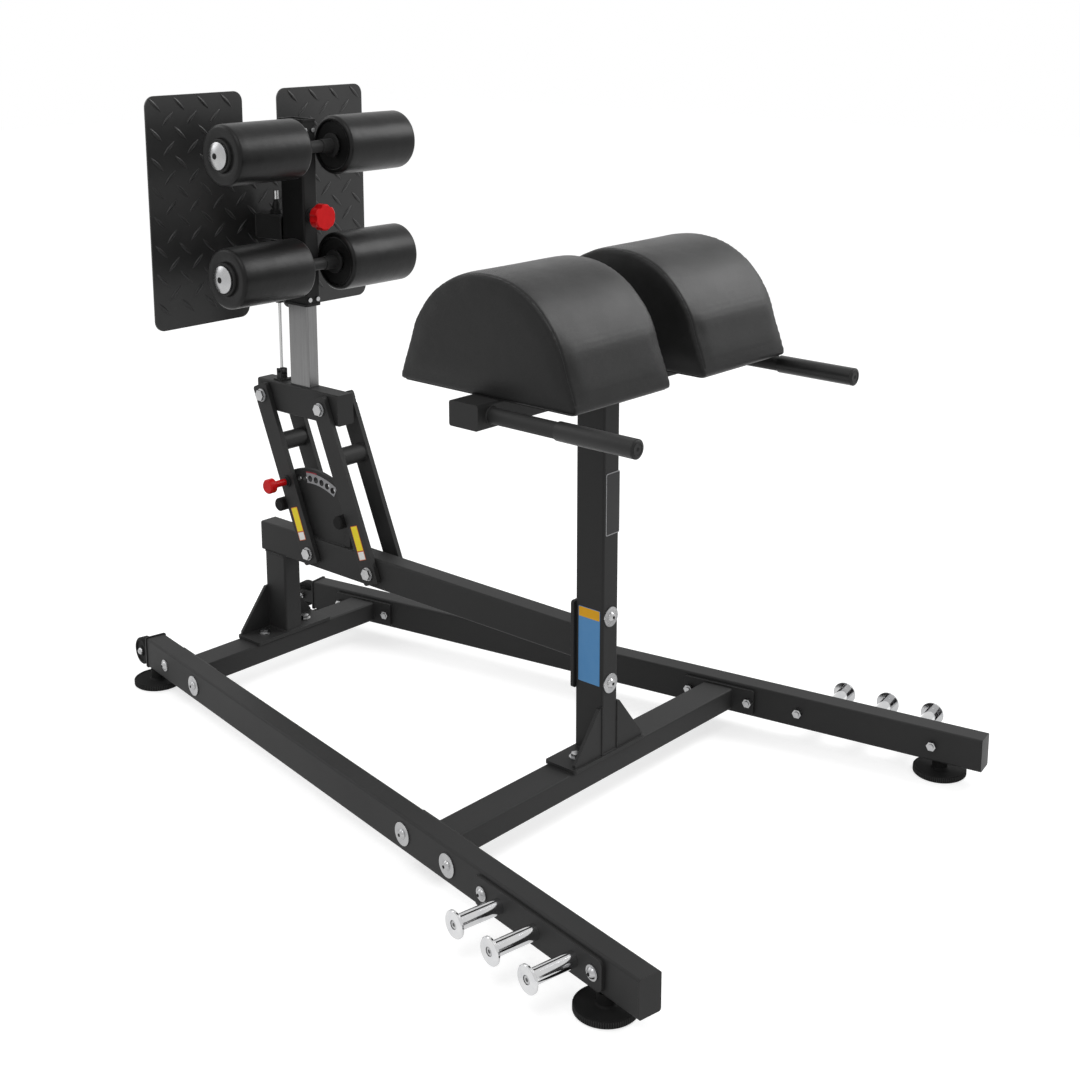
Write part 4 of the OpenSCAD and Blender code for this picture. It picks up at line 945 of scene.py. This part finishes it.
ROLLER_BORE = mm(24.5)
ROLLER_EDGE = mm(9)
ROLLER_CROWN = mm(0.5)
CROWN_STEPS = 12
ROLLER_LUMPS = 18.0
ROLLER_LUMP = mm(0.25)
END_FLAT = mm(8)
BUSH_RADIUS = mm(37.5)
BUSH_OUT = mm(5)
BUSH_IN = mm(6)
BUSH_SEAT = mm(1.5)
BUSH_GAP = mm(0.3)
BUSH_CHAMFER = mm(1)
BUSH_RIM = mm(2.5)
BUSH_SUNK = mm(0.8)
BORE_GAP = mm(0.4)
DISH_DEPTH = mm(9)
DISH_RIM = mm(14)
DISH_LIP = mm(1)
DISH_SUNK = mm(0.1)
DISH_GAP = mm(0.2)
DISH_THICK = mm(2)
DISH_EDGE = mm(6)
SPACER_RADIUS = mm(16.5)
SPACER_WALL = mm(1.9)
SPACER_GAP = mm(0.2)
COLLAR_LENGTH = mm(4.5)


def round_edge(radius, along, towards_end, steps=7):
    """Points of a quarter round at a roller's edge, from its skin to its end face."""
    points = []
    for k in range(steps + 1):
        t = math.pi / 2 * k / steps
        out, back = ROLLER_EDGE * (1 - math.cos(t)), ROLLER_EDGE * (1 - math.sin(t))
        points.append((radius - out, along - towards_end * back))
    return points


def roller_profile(radius, inner, outer, away):
    """The foam's profile: bore, a dished inner end, round edges, a low crown and a flat outer end."""
    floor, rim, skin = inner + away * DISH_DEPTH, radius - DISH_RIM, radius - ROLLER_CROWN
    profile = [(ROLLER_BORE, floor), (rim, floor)]
    profile += [(rim + DISH_LIP, inner + away * DISH_LIP * 0.8), (rim + DISH_LIP * 2, inner)]
    profile += reversed(round_edge(skin, inner, -away))
    first, last = inner + away * ROLLER_EDGE, outer - away * ROLLER_EDGE
    for k in range(1, CROWN_STEPS):
        t = k / CROWN_STEPS
        profile.append((radius - ROLLER_CROWN * (2 * t - 1) ** 2, first + (last - first) * t))
    profile += round_edge(skin, outer, away)
    seat = outer - away * BUSH_SEAT
    profile += [(radius - ROLLER_EDGE - END_FLAT, outer), (BUSH_RADIUS + BUSH_SEAT, outer - away * BUSH_GAP)]
    return profile + [(BUSH_RADIUS, seat), (ROLLER_BORE, seat)]


def bush_profile(inner, outer, away):
    """A moulded ring pressed into the foam's end, with its outer rim bevelled."""
    bore, ring, face = ROLLER_BORE + BORE_GAP, BUSH_RADIUS - BUSH_GAP, BUSH_RADIUS - BUSH_RIM
    sunk = outer - away * BUSH_SUNK
    profile = [(bore, inner), (ring, inner), (ring, outer - away * BUSH_CHAMFER)]
    profile += [(BUSH_RADIUS - BUSH_CHAMFER, outer), (face, outer)]
    return profile + [(face - BUSH_SUNK, sunk), (bore, sunk)]


def dish_profile(radius, inner, away):
    """The plate that closes the foam's dished inner end, finished near black as painted shade."""
    floor = inner + away * (DISH_DEPTH - DISH_SUNK)
    bore, rim = ROLLER_BORE + BORE_GAP, radius - DISH_RIM - DISH_GAP
    profile = [(bore, floor), (bore, floor - away * DISH_THICK)]
    profile += [(BUSH_RADIUS, floor - away * DISH_EDGE / 2), (rim, floor - away * DISH_EDGE)]
    return profile + [(rim, floor)]


def lightly_lumpy(mesh, size, depth):
    """Moves the skin in and out a little, as foam under a skin does."""
    for vertex in mesh.vertices:
        vertex.co += vertex.normal * depth * noise.noise(vertex.co * size)
    mesh.update()


def rollers():
    for place in ("upper_right", "upper_left", "lower_right", "lower_left"):
        body = "roller_" + place
        low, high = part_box(body)
        axle = (low + high) / 2
        radius = (high.z - low.z) / 2
        inner, tip = (low.y, high.y) if place.endswith("left") else (high.y, low.y)
        away = math.copysign(1.0, tip - inner)
        outer = tip - away * BUSH_OUT
        skin = lathe(body + "_foam", roller_profile(radius, inner, outer, away), axle)
        lightly_lumpy(skin, ROLLER_LUMPS, ROLLER_LUMP)
        foam = new_piece(body + "_foam", skin, body, ROLLER_SKIN)
        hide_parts(body)
        bush = lathe(body + "_bush", bush_profile(outer - away * BUSH_IN, tip, away), axle)
        new_piece(body + "_bush", bush, body, MOULDED)
        dish = lathe(body + "_dish", dish_profile(radius, inner, away), axle)
        new_piece(body + "_dish", dish, body, ROLLER_INSIDE_SHADE)


def axle_spacers():
    """A plain tube on each axle between the sleeve and the roller's collar."""
    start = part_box("sleeve")[1].y + SPACER_GAP
    radii = (SPACER_RADIUS - SPACER_WALL, SPACER_RADIUS)
    tubes = []
    for height in ("upper", "lower"):
        low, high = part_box("roller_" + height + "_left")
        stop = low.y - COLLAR_LENGTH
        for side in (-1, 1):
            profile = [(r, side * start) for r in radii] + [(r, side * stop) for r in reversed(radii)]
            tubes.append(lathe("axle_spacer", profile, (low + high) / 2))
    new_piece("axle_spacers", tubes, "slider", FRAME_COAT)


# Rubber feet

RIM_PITCH = mm(4.2)
RIM_WIDTH = mm(2)
RIM_HEIGHT = mm(11)
RIM_MIDDLE = mm(7.5)
RIM_SUNK = mm(0.1)
RIM_TOP = mm(14)
RIM_ROUND = mm(0.8)
RIM_WALL = mm(4)
RIM_STEP = mm(1)
FOOT_CHAMFER = mm(2)
FOOT_NECK = mm(17)
NECK_FLARE = mm(3)
FOOT_UNDER = mm(0.1)


def foot_profile(radius, top):
    """A flat disc with an upright rim and a narrow neck, as (radius, height) points."""
    bed = RIM_TOP - RIM_STEP
    under = [(0, 0), (radius - FOOT_CHAMFER, 0), (radius, FOOT_CHAMFER)]
    rim = [(radius, RIM_TOP - RIM_ROUND), (radius - RIM_ROUND, RIM_TOP)]
    rim += [(radius - RIM_WALL, RIM_TOP), (radius - RIM_WALL - RIM_STEP, bed)]
    neck = [(FOOT_NECK + NECK_FLARE, bed), (FOOT_NECK, bed + NECK_FLARE), (FOOT_NECK, top), (0, top)]
    return under + rim + neck


def foot_centres(mesh):
    """(centre on the floor, radius) of each foot, from the box of each quarter of the node's points."""
    found = []
    for front in (False, True):
        for left in (False, True):
            part = [v.co for v in mesh.vertices if (v.co.x > 0) == front and (v.co.y > 0) == left]
            xs, ys = [p.x for p in part], [p.y for p in part]
            centre = Vector(((min(xs) + max(xs)) / 2, (min(ys) + max(ys)) / 2, 0))
            found.append((centre, (max(xs) - min(xs)) / 2))
    return found


def rubber_feet():
    """Four flat feet with moulded ribs round their rims."""
    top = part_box("rubber_feet")[1].z - FOOT_UNDER
    discs, spots = [], []
    for centre, radius in foot_centres(cad_nodes["rubber_feet"].data):
        disc = lathe("foot", foot_profile(radius, top), Vector())
        disc.transform(Matrix.Translation(centre) @ Matrix.Rotation(math.pi / 2, 4, "X"))
        discs.append(disc)
        count = int(2 * math.pi * radius / RIM_PITCH)
        for k in range(count):
            a = 2 * math.pi * k / count
            spot = centre + Vector((math.cos(a), math.sin(a), 0)) * (radius - RIM_SUNK)
            spots.append(spot + UP * RIM_MIDDLE)
    feet = new_piece("foot_discs", discs, "frame", RUBBER)
    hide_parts("rubber_feet")
    sizes = {"Width": RIM_WIDTH, "Height": RIM_HEIGHT, "Material": RIM_RUBBER_LIT}
    grow("foot_rim_ribs", "frame", "rubber_black", RIM_RIBS, spots, **sizes)


# Caps on the rear ends of the side rails

RAIL_TURN = 10.1
RAIL_START = mm(-868.7, 267.5, 75.5)
LIP_SIZE = mm(55, 80)
LIP_THICK = mm(4)
LIP_CORNER = mm(6)


def rail_end_lips():
    """A thin moulded lip round each side rail's rear end."""
    turn = math.radians(RAIL_TURN)
    plates = []
    for side in (-1, 1):
        start = Vector((RAIL_START.x, side * RAIL_START.y, RAIL_START.z))
        along = Vector((math.cos(turn), side * math.sin(turn), 0))
        across = Vector((-math.sin(turn), side * math.cos(turn), 0))
        corners = []
        for a, b in FOUR_CORNERS:
            corners.append(start + across * a * LIP_SIZE.x / 2 + UP * b * LIP_SIZE.y / 2)
        plates.append(plate_between("rail_end_lip", rounded_quad(corners, LIP_CORNER), -along, LIP_THICK))
    new_piece("rail_end_lips", plates, "frame", MOULDED, smooth=False)


# Printed strips and plates, all without words

STRIP_THICK = mm(0.4)
PRINT_THICK = mm(0.15)
STRIP_CORNER = mm(2)
STRIP_INNER_CORNER = mm(1)
STRIP_MARGIN = mm(1.5)
STRIP_SPLIT = 0.74
LINK_OUTER_Y = mm(-39.1)
REAR_STRIP = [(-604, 450.5), (-581.5, 458.5), (-551, 380.5), (-573.5, 372.5)]
FRONT_STRIP = [(-388, 450.5), (-365.5, 458.5), (-335, 380.5), (-357.5, 372.5)]
UPRIGHT_NEAR_Y = mm(-25)
UPRIGHT_FRONT_X = mm(376)
PLACARD = [(310, 431), (368, 431), (368, 263), (310, 263)]
PLACARD_MARGIN = mm(1)
PLACARD_SPLIT = 0.14
BADGE = [(-18, 729), (26, 729), (26, 595), (-18, 595)]
PLACARD_CORNER = mm(1.5)
BADGE_BORDER = mm(2)
BADGE_THICK = mm(0.3)
BADGE_CORNER = mm(4)
BADGE_INNER_CORNER = mm(3)


def part_quad(corners, start, end, inset):
    """The stretch of a four-cornered plate from start to end of its length, drawn in by inset."""
    a, b, c, d = [Vector(p) for p in corners]
    across, along = (b - a).normalized() * inset, (d - a).normalized() * inset
    return [
        a.lerp(d, start) + across + along,
        b.lerp(c, start) - across + along,
        b.lerp(c, end) - across - along,
        a.lerp(d, end) + across - along,
    ]


def label(name, corners, away, body, material, radius=STRIP_CORNER, thick=STRIP_THICK):
    mesh = plate_between(name, rounded_quad(corners, radius), away, thick)
    new_piece(name, mesh, body, material, smooth=False)


def link_strips():
    """A plain two-colour strip with a coloured edge on the near bar of each link."""
    for body, corners in (("rear_link", REAR_STRIP), ("front_link", FRONT_STRIP)):
        quad = [mm(x, 0, z) + LEFT * LINK_OUTER_Y for x, z in corners]
        label(body + "_strip_edge", quad, -LEFT, body, STRIP_EDGE)
        lifted = [p - LEFT * STRIP_THICK for p in quad]
        head = part_quad(lifted, 0.0, STRIP_SPLIT, STRIP_MARGIN)
        end = part_quad(lifted, STRIP_SPLIT, 1.0, STRIP_MARGIN)
        label(body + "_strip_head", head, -LEFT, body, STRIP_YELLOW, STRIP_INNER_CORNER, PRINT_THICK)
        label(body + "_strip_end", end, -LEFT, body, STRIP_WHITE, STRIP_INNER_CORNER, PRINT_THICK)


def upright_plates():
    """The blank two-colour placard on the upright's near side, and the small dark plate on its front."""
    quad = [mm(x, 0, z) + LEFT * UPRIGHT_NEAR_Y for x, z in PLACARD]
    label("placard", quad, -LEFT, "frame", PLACARD_BLUE)
    head = [p - LEFT * STRIP_THICK for p in part_quad(quad, 0.0, PLACARD_SPLIT, PLACARD_MARGIN)]
    label("placard_head", head, -LEFT, "frame", PLACARD_AMBER, PLACARD_CORNER, PRINT_THICK)
    quad = [mm(0, y, z) + FRONT * UPRIGHT_FRONT_X for y, z in BADGE]
    label("front_plate", quad, FRONT, "frame", BADGE_LINE, BADGE_CORNER)
    inner = [p + FRONT * STRIP_THICK for p in part_quad(quad, 0.0, 1.0, BADGE_BORDER)]
    label("front_plate_face", inner, FRONT, "frame", BADGE_BLANK, BADGE_INNER_CORNER, BADGE_THICK)


# Scale band on the adjustment sector

BEAM_MIDDLE = mm(346)
SECTOR_PIVOT_X = mm(-545)
SECTOR_NEAR_Y = mm(-16)
SECTOR_THICK = mm(10)
SECTOR_HOLE_R = mm(184)
WINDOW_RADIUS = mm(8)
WINDOW_STEPS = 24
HOLE_STEP = 6.457
LINK_LEAN = -22.594
BAND_INNER = mm(172.5)
BAND_OUTER = mm(198)
RED_OUTER = mm(201)
BAND_STEPS = 60
BAND_FROM_HOLE = 3
BAND_TO_HOLE = 8
RED_SPAN = 11
SECTOR_FOOT = [(-436, 384), (-417, 384), (-417, 430), (-425, 442), (-436, 442)]


def sector_point(radius, degrees):
    """A point of the sector's near face: degrees from upright, towards the front."""
    a = math.radians(degrees)
    return Vector((SECTOR_PIVOT_X + radius * math.sin(a), SECTOR_NEAR_Y, BEAM_MIDDLE + radius * math.cos(a)))


def ring_edges(shape, points):
    verts = [shape.verts.new(p) for p in points]
    return [shape.edges.new((verts[k], verts[(k + 1) % len(verts)])) for k in range(len(verts))]


def arc_band(name, inner, outer, first, last, holes, material):
    """A thin arc band on the sector, with a round window at each hole."""
    shape = bmesh.new()
    turns = [first + (last - first) * k / BAND_STEPS for k in range(BAND_STEPS + 1)]
    rim = [sector_point(outer, turn) for turn in turns]
    rim += [sector_point(inner, turn) for turn in reversed(turns)]
    edges = ring_edges(shape, rim)
    for degrees in holes:
        centre = sector_point(SECTOR_HOLE_R, degrees)
        window = []
        for k in range(WINDOW_STEPS):
            a = 2 * math.pi * k / WINDOW_STEPS
            window.append(centre + Vector((math.cos(a), 0, math.sin(a))) * WINDOW_RADIUS)
        edges += ring_edges(shape, window)
    bmesh.ops.triangle_fill(shape, use_beauty=True, use_dissolve=False, edges=edges)
    lifted = bmesh.ops.extrude_face_region(shape, geom=shape.faces[:])
    moved = [part for part in lifted["geom"] if isinstance(part, bmesh.types.BMVert)]
    bmesh.ops.translate(shape, vec=-LEFT * STRIP_THICK, verts=moved)
    bmesh.ops.recalc_face_normals(shape, faces=shape.faces)
    mesh = bpy.data.meshes.new(name)
    shape.to_mesh(mesh)
    shape.free()
    new_piece(name, mesh, "frame", material, smooth=False)


def sector_band():
    """A plain grey band round the sector's later holes, with a short red line over its first stretch."""
    holes = [LINK_LEAN + HOLE_STEP * k for k in range(BAND_FROM_HOLE, BAND_TO_HOLE)]
    first, last = holes[0] - HOLE_STEP * 0.6, holes[-1] + HOLE_STEP * 0.5
    arc_band("sector_band", BAND_INNER, BAND_OUTER, first, last, holes, SCALE_GREY)
    arc_band("sector_band_line", BAND_OUTER, RED_OUTER, first, first + RED_SPAN, [], SCALE_RED)


def sector_foot():
    """The sector's lower front corner, which fills the angle between its edge and the front link."""
    outline = [mm(x, 0, z) + LEFT * (SECTOR_NEAR_Y + SECTOR_THICK) for x, z in SECTOR_FOOT]
    mesh = plate_between("sector_foot", outline, -LEFT, SECTOR_THICK)
    new_piece("sector_foot", mesh, "frame", FRAME_COAT, smooth=False)


# Weld beads

BEAD_PITCH = mm(2.6)
BEAD = {"Pitch": BEAD_PITCH, "Length": BEAD_PITCH * 1.9, "Thread": mm(5), "Material": FRAME_COAT}
WELD_CORNER = mm(6)
WELD_STEPS = 6
QUARTER_STEPS = 10
POST_TUBE = mm(75, 50)
POST_XS = mm(-691, 338.5)
POST_TOPS = mm(308.5, 896.5)
FOOT_FLANGE_TOP = mm(108.5)
GUSSET_XS = mm(-724.5, 372)
GUSSET_FOOT_Y = mm(111)
GUSSET_TOP = mm(216.5)
BEAM_PLATE = mm(8)
SECTOR_FOOT_XS = mm(-592, -435)
SECTOR_FOOT_Z = mm(383.5)
LINK_TUBES = {"rear_link": mm(-653.4), "front_link": mm(-438.9)}
LINK_TUBE_Z = mm(606.3)
LINK_TUBE_RADIUS = mm(22.5)
LINK_TUBE_YS = mm(-27.1, 45.1)


def weld_ring(centre, normal, across, wide, high, corner=WELD_CORNER, steps=WELD_STEPS):
    """A closed rounded rectangle round a tube: across is the direction of wide, square to normal."""
    up = normal.cross(across)
    points = []
    for k, (sx, sy) in enumerate(((1, 1), (-1, 1), (-1, -1), (1, -1))):
        middle = Vector(centre) + across * sx * (wide / 2 - corner) + up * sy * (high / 2 - corner)
        for s in range(steps + 1):
            a = math.pi / 2 * (k + s / steps)
            points.append(middle + across * corner * math.cos(a) + up * corner * math.sin(a))
    return points, True


def weld_circle(centre, normal, across, radius):
    return weld_ring(centre, normal, across, 2 * radius, 2 * radius, radius, QUARTER_STEPS)


def weld_line(start, end):
    return [Vector(start), Vector(end)], False


def weld_beads(body, paths):
    """Rows of small overlapping beads along each path."""
    points, edges = path_edges(paths)
    grow(body + "_welds", body, "frame_black", STITCHES, points, edges, **BEAD)


def frame_welds():
    paths = []
    for x, top in zip(POST_XS, POST_TOPS):
        paths += [weld_ring((x, 0, z), UP, FRONT, *POST_TUBE) for z in (FOOT_FLANGE_TOP, top)]
    beam_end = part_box("main_beam")[1].x - BEAM_PLATE
    paths.append(weld_ring((beam_end, 0, BEAM_MIDDLE), FRONT, LEFT, POST_TUBE.y, POST_TUBE.x))
    half = POST_TUBE.y / 2
    for x in GUSSET_XS:
        for side in (-1, 1):
            corner = (x, side * half, FOOT_FLANGE_TOP)
            paths.append(weld_line(corner, (x, side * GUSSET_FOOT_Y, FOOT_FLANGE_TOP)))
            paths.append(weld_line(corner, (x, side * half, GUSSET_TOP)))
    low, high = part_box("handles")
    radius = (high.z - low.z) / 2
    for side in (-1, 1):
        centre = (low.x, side * (high.y - radius), (low.z + high.z) / 2)
        paths.append(weld_circle(centre, FRONT, LEFT, radius))
        paths.append(weld_line((low.x, side * half, FOOT_FLANGE_TOP), (low.x, side * half, GUSSET_TOP)))
    first, last = SECTOR_FOOT_XS
    for y in (SECTOR_NEAR_Y, SECTOR_NEAR_Y + SECTOR_THICK):
        paths.append(weld_line((first, y, SECTOR_FOOT_Z), (last, y, SECTOR_FOOT_Z)))
    return paths


def all_welds():
    """Weld beads at the joints of the tubes, on each body that has some."""
    weld_beads("frame", frame_welds())
    low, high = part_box("slide_post")
    foot = ((low.x + high.x) / 2, 0, low.z)
    weld_beads("carriage", [weld_ring(foot, UP, FRONT, high.x - low.x, high.y - low.y)])
    for body, x in LINK_TUBES.items():
        ends = [(x, y, LINK_TUBE_Z) for y in LINK_TUBE_YS]
        weld_beads(body, [weld_circle(end, LEFT, FRONT, LINK_TUBE_RADIUS) for end in ends])
    low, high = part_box("plate_arm")
    middle, size = (low.z + high.z) / 2, (high.y - low.y, high.z - low.z)
    weld_beads("slider", [weld_ring((x, 0, middle), FRONT, LEFT, *size) for x in (low.x, high.x)])


# Sockets in the domed bolts, as thin plates of painted shade

SOCKET_RADIUS = mm(3.6)
SOCKET_HEIGHT = mm(1.2)
SOCKET_PROUD = mm(0.06)
DOMED = ("rail_bolts", "beam_bolts", "peg_plate_bolts")
HEAD_DEPTH = mm(8)
LEAST_SLENDER = 2.5


def loose_parts(mesh):
    """The points of each separate part of a mesh."""
    shape = bmesh.new()
    shape.from_mesh(mesh)
    bmesh.ops.remove_doubles(shape, verts=shape.verts, dist=1e-5)
    parts, seen = [], set()
    for first in shape.verts:
        if first in seen:
            continue
        seen.add(first)
        waiting, part = [first], []
        while waiting:
            vertex = waiting.pop()
            part.append(vertex.co.copy())
            for edge in vertex.link_edges:
                other = edge.other_vert(vertex)
                if other not in seen:
                    seen.add(other)
                    waiting.append(other)
        parts.append(part)
    shape.free()
    return parts


def bolt_head(part):
    """(top, direction) of a long part's fatter end, or None for a washer or a nut."""
    middle = sum(part, Vector()) / len(part)
    points = [p - middle for p in part]
    far = max(points, key=lambda p: p.length)
    ahead = [p for p in points if p.dot(far) > 0]
    axis = sum(ahead, Vector()).normalized()
    ends = []
    for way in (axis, -axis):
        reach = max(p.dot(way) for p in points)
        girth = max((p - way * p.dot(way)).length for p in points if p.dot(way) > reach - HEAD_DEPTH)
        ends.append((girth, reach, way))
    length = ends[0][1] + ends[1][1]
    girth, reach, way = max(ends, key=lambda end: end[0])
    return (middle + way * reach, way) if length > LEAST_SLENDER * girth else None


def bolt_sockets():
    """A thin six-sided plate of painted shade in the middle of each domed bolt head, standing in for its
    socket.
    """
    spots, turns = [], []
    for node in DOMED:
        for part in loose_parts(cad_nodes[node].data):
            head = bolt_head(part)
            if head is not None:
                top, way = head
                spots.append(top - way * (SOCKET_HEIGHT / 2 - SOCKET_PROUD))
                turns.append(way.to_track_quat("Z", "Y").to_euler())
    sizes = {"Radius": SOCKET_RADIUS, "Height": SOCKET_HEIGHT, "Material": SOCKET_SHADE}
    grow("bolt_sockets", "frame", "frame_black", SOCKETS, spots, turns=turns, smooth=False, **sizes)


# Rings on the ends of the grips, and discs of painted shade in the middles there and on the roller caps

RING_OUT = mm(13)
RING_IN = mm(11)
RING_PROUD = mm(0.6)
RING_STEPS = 48
PLUG_CENTRE = mm(4)
CAP_CENTRE = mm(7)
CENTRE_THICK = mm(0.1)
CENTRE_STEPS = 32


def centre_profile(radius):
    return [(0, 0), (radius, 0), (radius, CENTRE_THICK), (0, CENTRE_THICK)]


def grip_ends():
    """A raised ring and a thin disc of painted shade in the centre of each grip's plug, and a disc of
    painted shade in the centre of each roller's cap.
    """
    low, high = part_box("grip_plugs")
    radius = (high.z - low.z) / 2
    ring_profile = [(RING_IN, 0), (RING_OUT, 0), (RING_OUT, RING_PROUD), (RING_IN, RING_PROUD)]
    rings, centres = [], []
    for side in (-1, 1):
        place = Matrix.Translation((high.x, side * (high.y - radius), (low.z + high.z) / 2))
        rings.append(lathe("ring", ring_profile, Vector(), RING_STEPS))
        centres.append(lathe("centre", centre_profile(PLUG_CENTRE), Vector(), CENTRE_STEPS))
        for mesh in (rings[-1], centres[-1]):
            mesh.transform(place @ Matrix.Rotation(-math.pi / 2, 4, "Z"))
    new_piece("grip_plug_rings", rings, "frame", MOULDED, smooth=False)
    new_piece("grip_plug_centres", centres, "frame", SOCKET_SHADE, smooth=False)
    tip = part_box("roller_end_caps")[1].y - CENTRE_THICK / 2
    discs = []
    for height in ("upper", "lower"):
        low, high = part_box("roller_" + height + "_left")
        for side in (-1, 1):
            profile = [(r, side * (tip + along)) for r, along in centre_profile(CAP_CENTRE)]
            discs.append(lathe("cap_centre", profile, (low + high) / 2, CENTRE_STEPS))
    new_piece("cap_centres", discs, "slider", SOCKET_SHADE, smooth=False)


# Stage: floor, world and lamps

FLOOR_HALF = 15.0
FLOOR_UNDER = mm(0.5)
FLOOR_COLOUR = 0.55
FLOOR_GLOW = 0.66
WORLD_LEVEL = 0.62


def seen_straight(g):
    """1 for the rays that show a background: from the camera, by reflection and through glass."""
    path = g.node("ShaderNodeLightPath").outputs
    seen = g.math("MAXIMUM", path["Is Camera Ray"], path["Is Glossy Ray"])
    return g.math("MAXIMUM", seen, path["Is Transmission Ray"])


def make_floor():
    corners = [(x * FLOOR_HALF, y * FLOOR_HALF, -FLOOR_UNDER) for x, y in FOUR_CORNERS]
    mesh = mesh_of("floor", corners, [(0, 1, 2, 3)])
    floor = added("floor", mesh)
    f = Finish("floor_white", Roughness=0.9, Specular_IOR_Level=0.1)
    f.feed(f.shader["Base Color"], grey(FLOOR_COLOUR))
    f.feed(f.shader["Emission Color"], grey(1.0))
    f.feed(f.shader["Emission Strength"], f.times(seen_straight(f), FLOOR_GLOW))
    mesh.materials.append(f.material)


def make_world():
    world = bpy.data.worlds.new("studio")
    world.use_nodes = True
    bpy.context.scene.world = world
    g = Graph(world.node_tree)
    background = world.node_tree.nodes["Background"].inputs
    g.feed(background["Color"], grey(1.0))
    g.feed(background["Strength"], g.between(seen_straight(g), WORLD_LEVEL, 1.0))


def softbox(name, place, aim, size, power):
    """A square soft lamp at place, turned to aim."""
    lamp = bpy.data.lights.new(name, "AREA")
    lamp.size = size
    lamp.energy = power
    holder = added(name, lamp)
    holder.location = place
    holder.rotation_euler = (Vector(aim) - Vector(place)).to_track_quat("-Z", "Y").to_euler()


def light_studio():
    make_world()
    softbox("key_lamp", (1.0, -2.6, 4.6), (0, 0, 0.6), size=2.6, power=60)
    softbox("back_lamp", (1.6, 2.8, 3.2), (0, 0, 0.8), size=2.0, power=90)
    softbox("side_lamp", (-3.4, -1.4, 2.8), (-0.4, 0, 0.8), size=2.2, power=25)


place_camera()
light_studio()
make_floor()
dress_cad_nodes()
foot_plate_tread()
thigh_pads()
rollers()
axle_spacers()
rubber_feet()
rail_end_lips()
link_strips()
upright_plates()
sector_band()
sector_foot()
all_welds()
bolt_sockets()
grip_ends()

bpy.context.scene.view_settings.view_transform = "Standard"
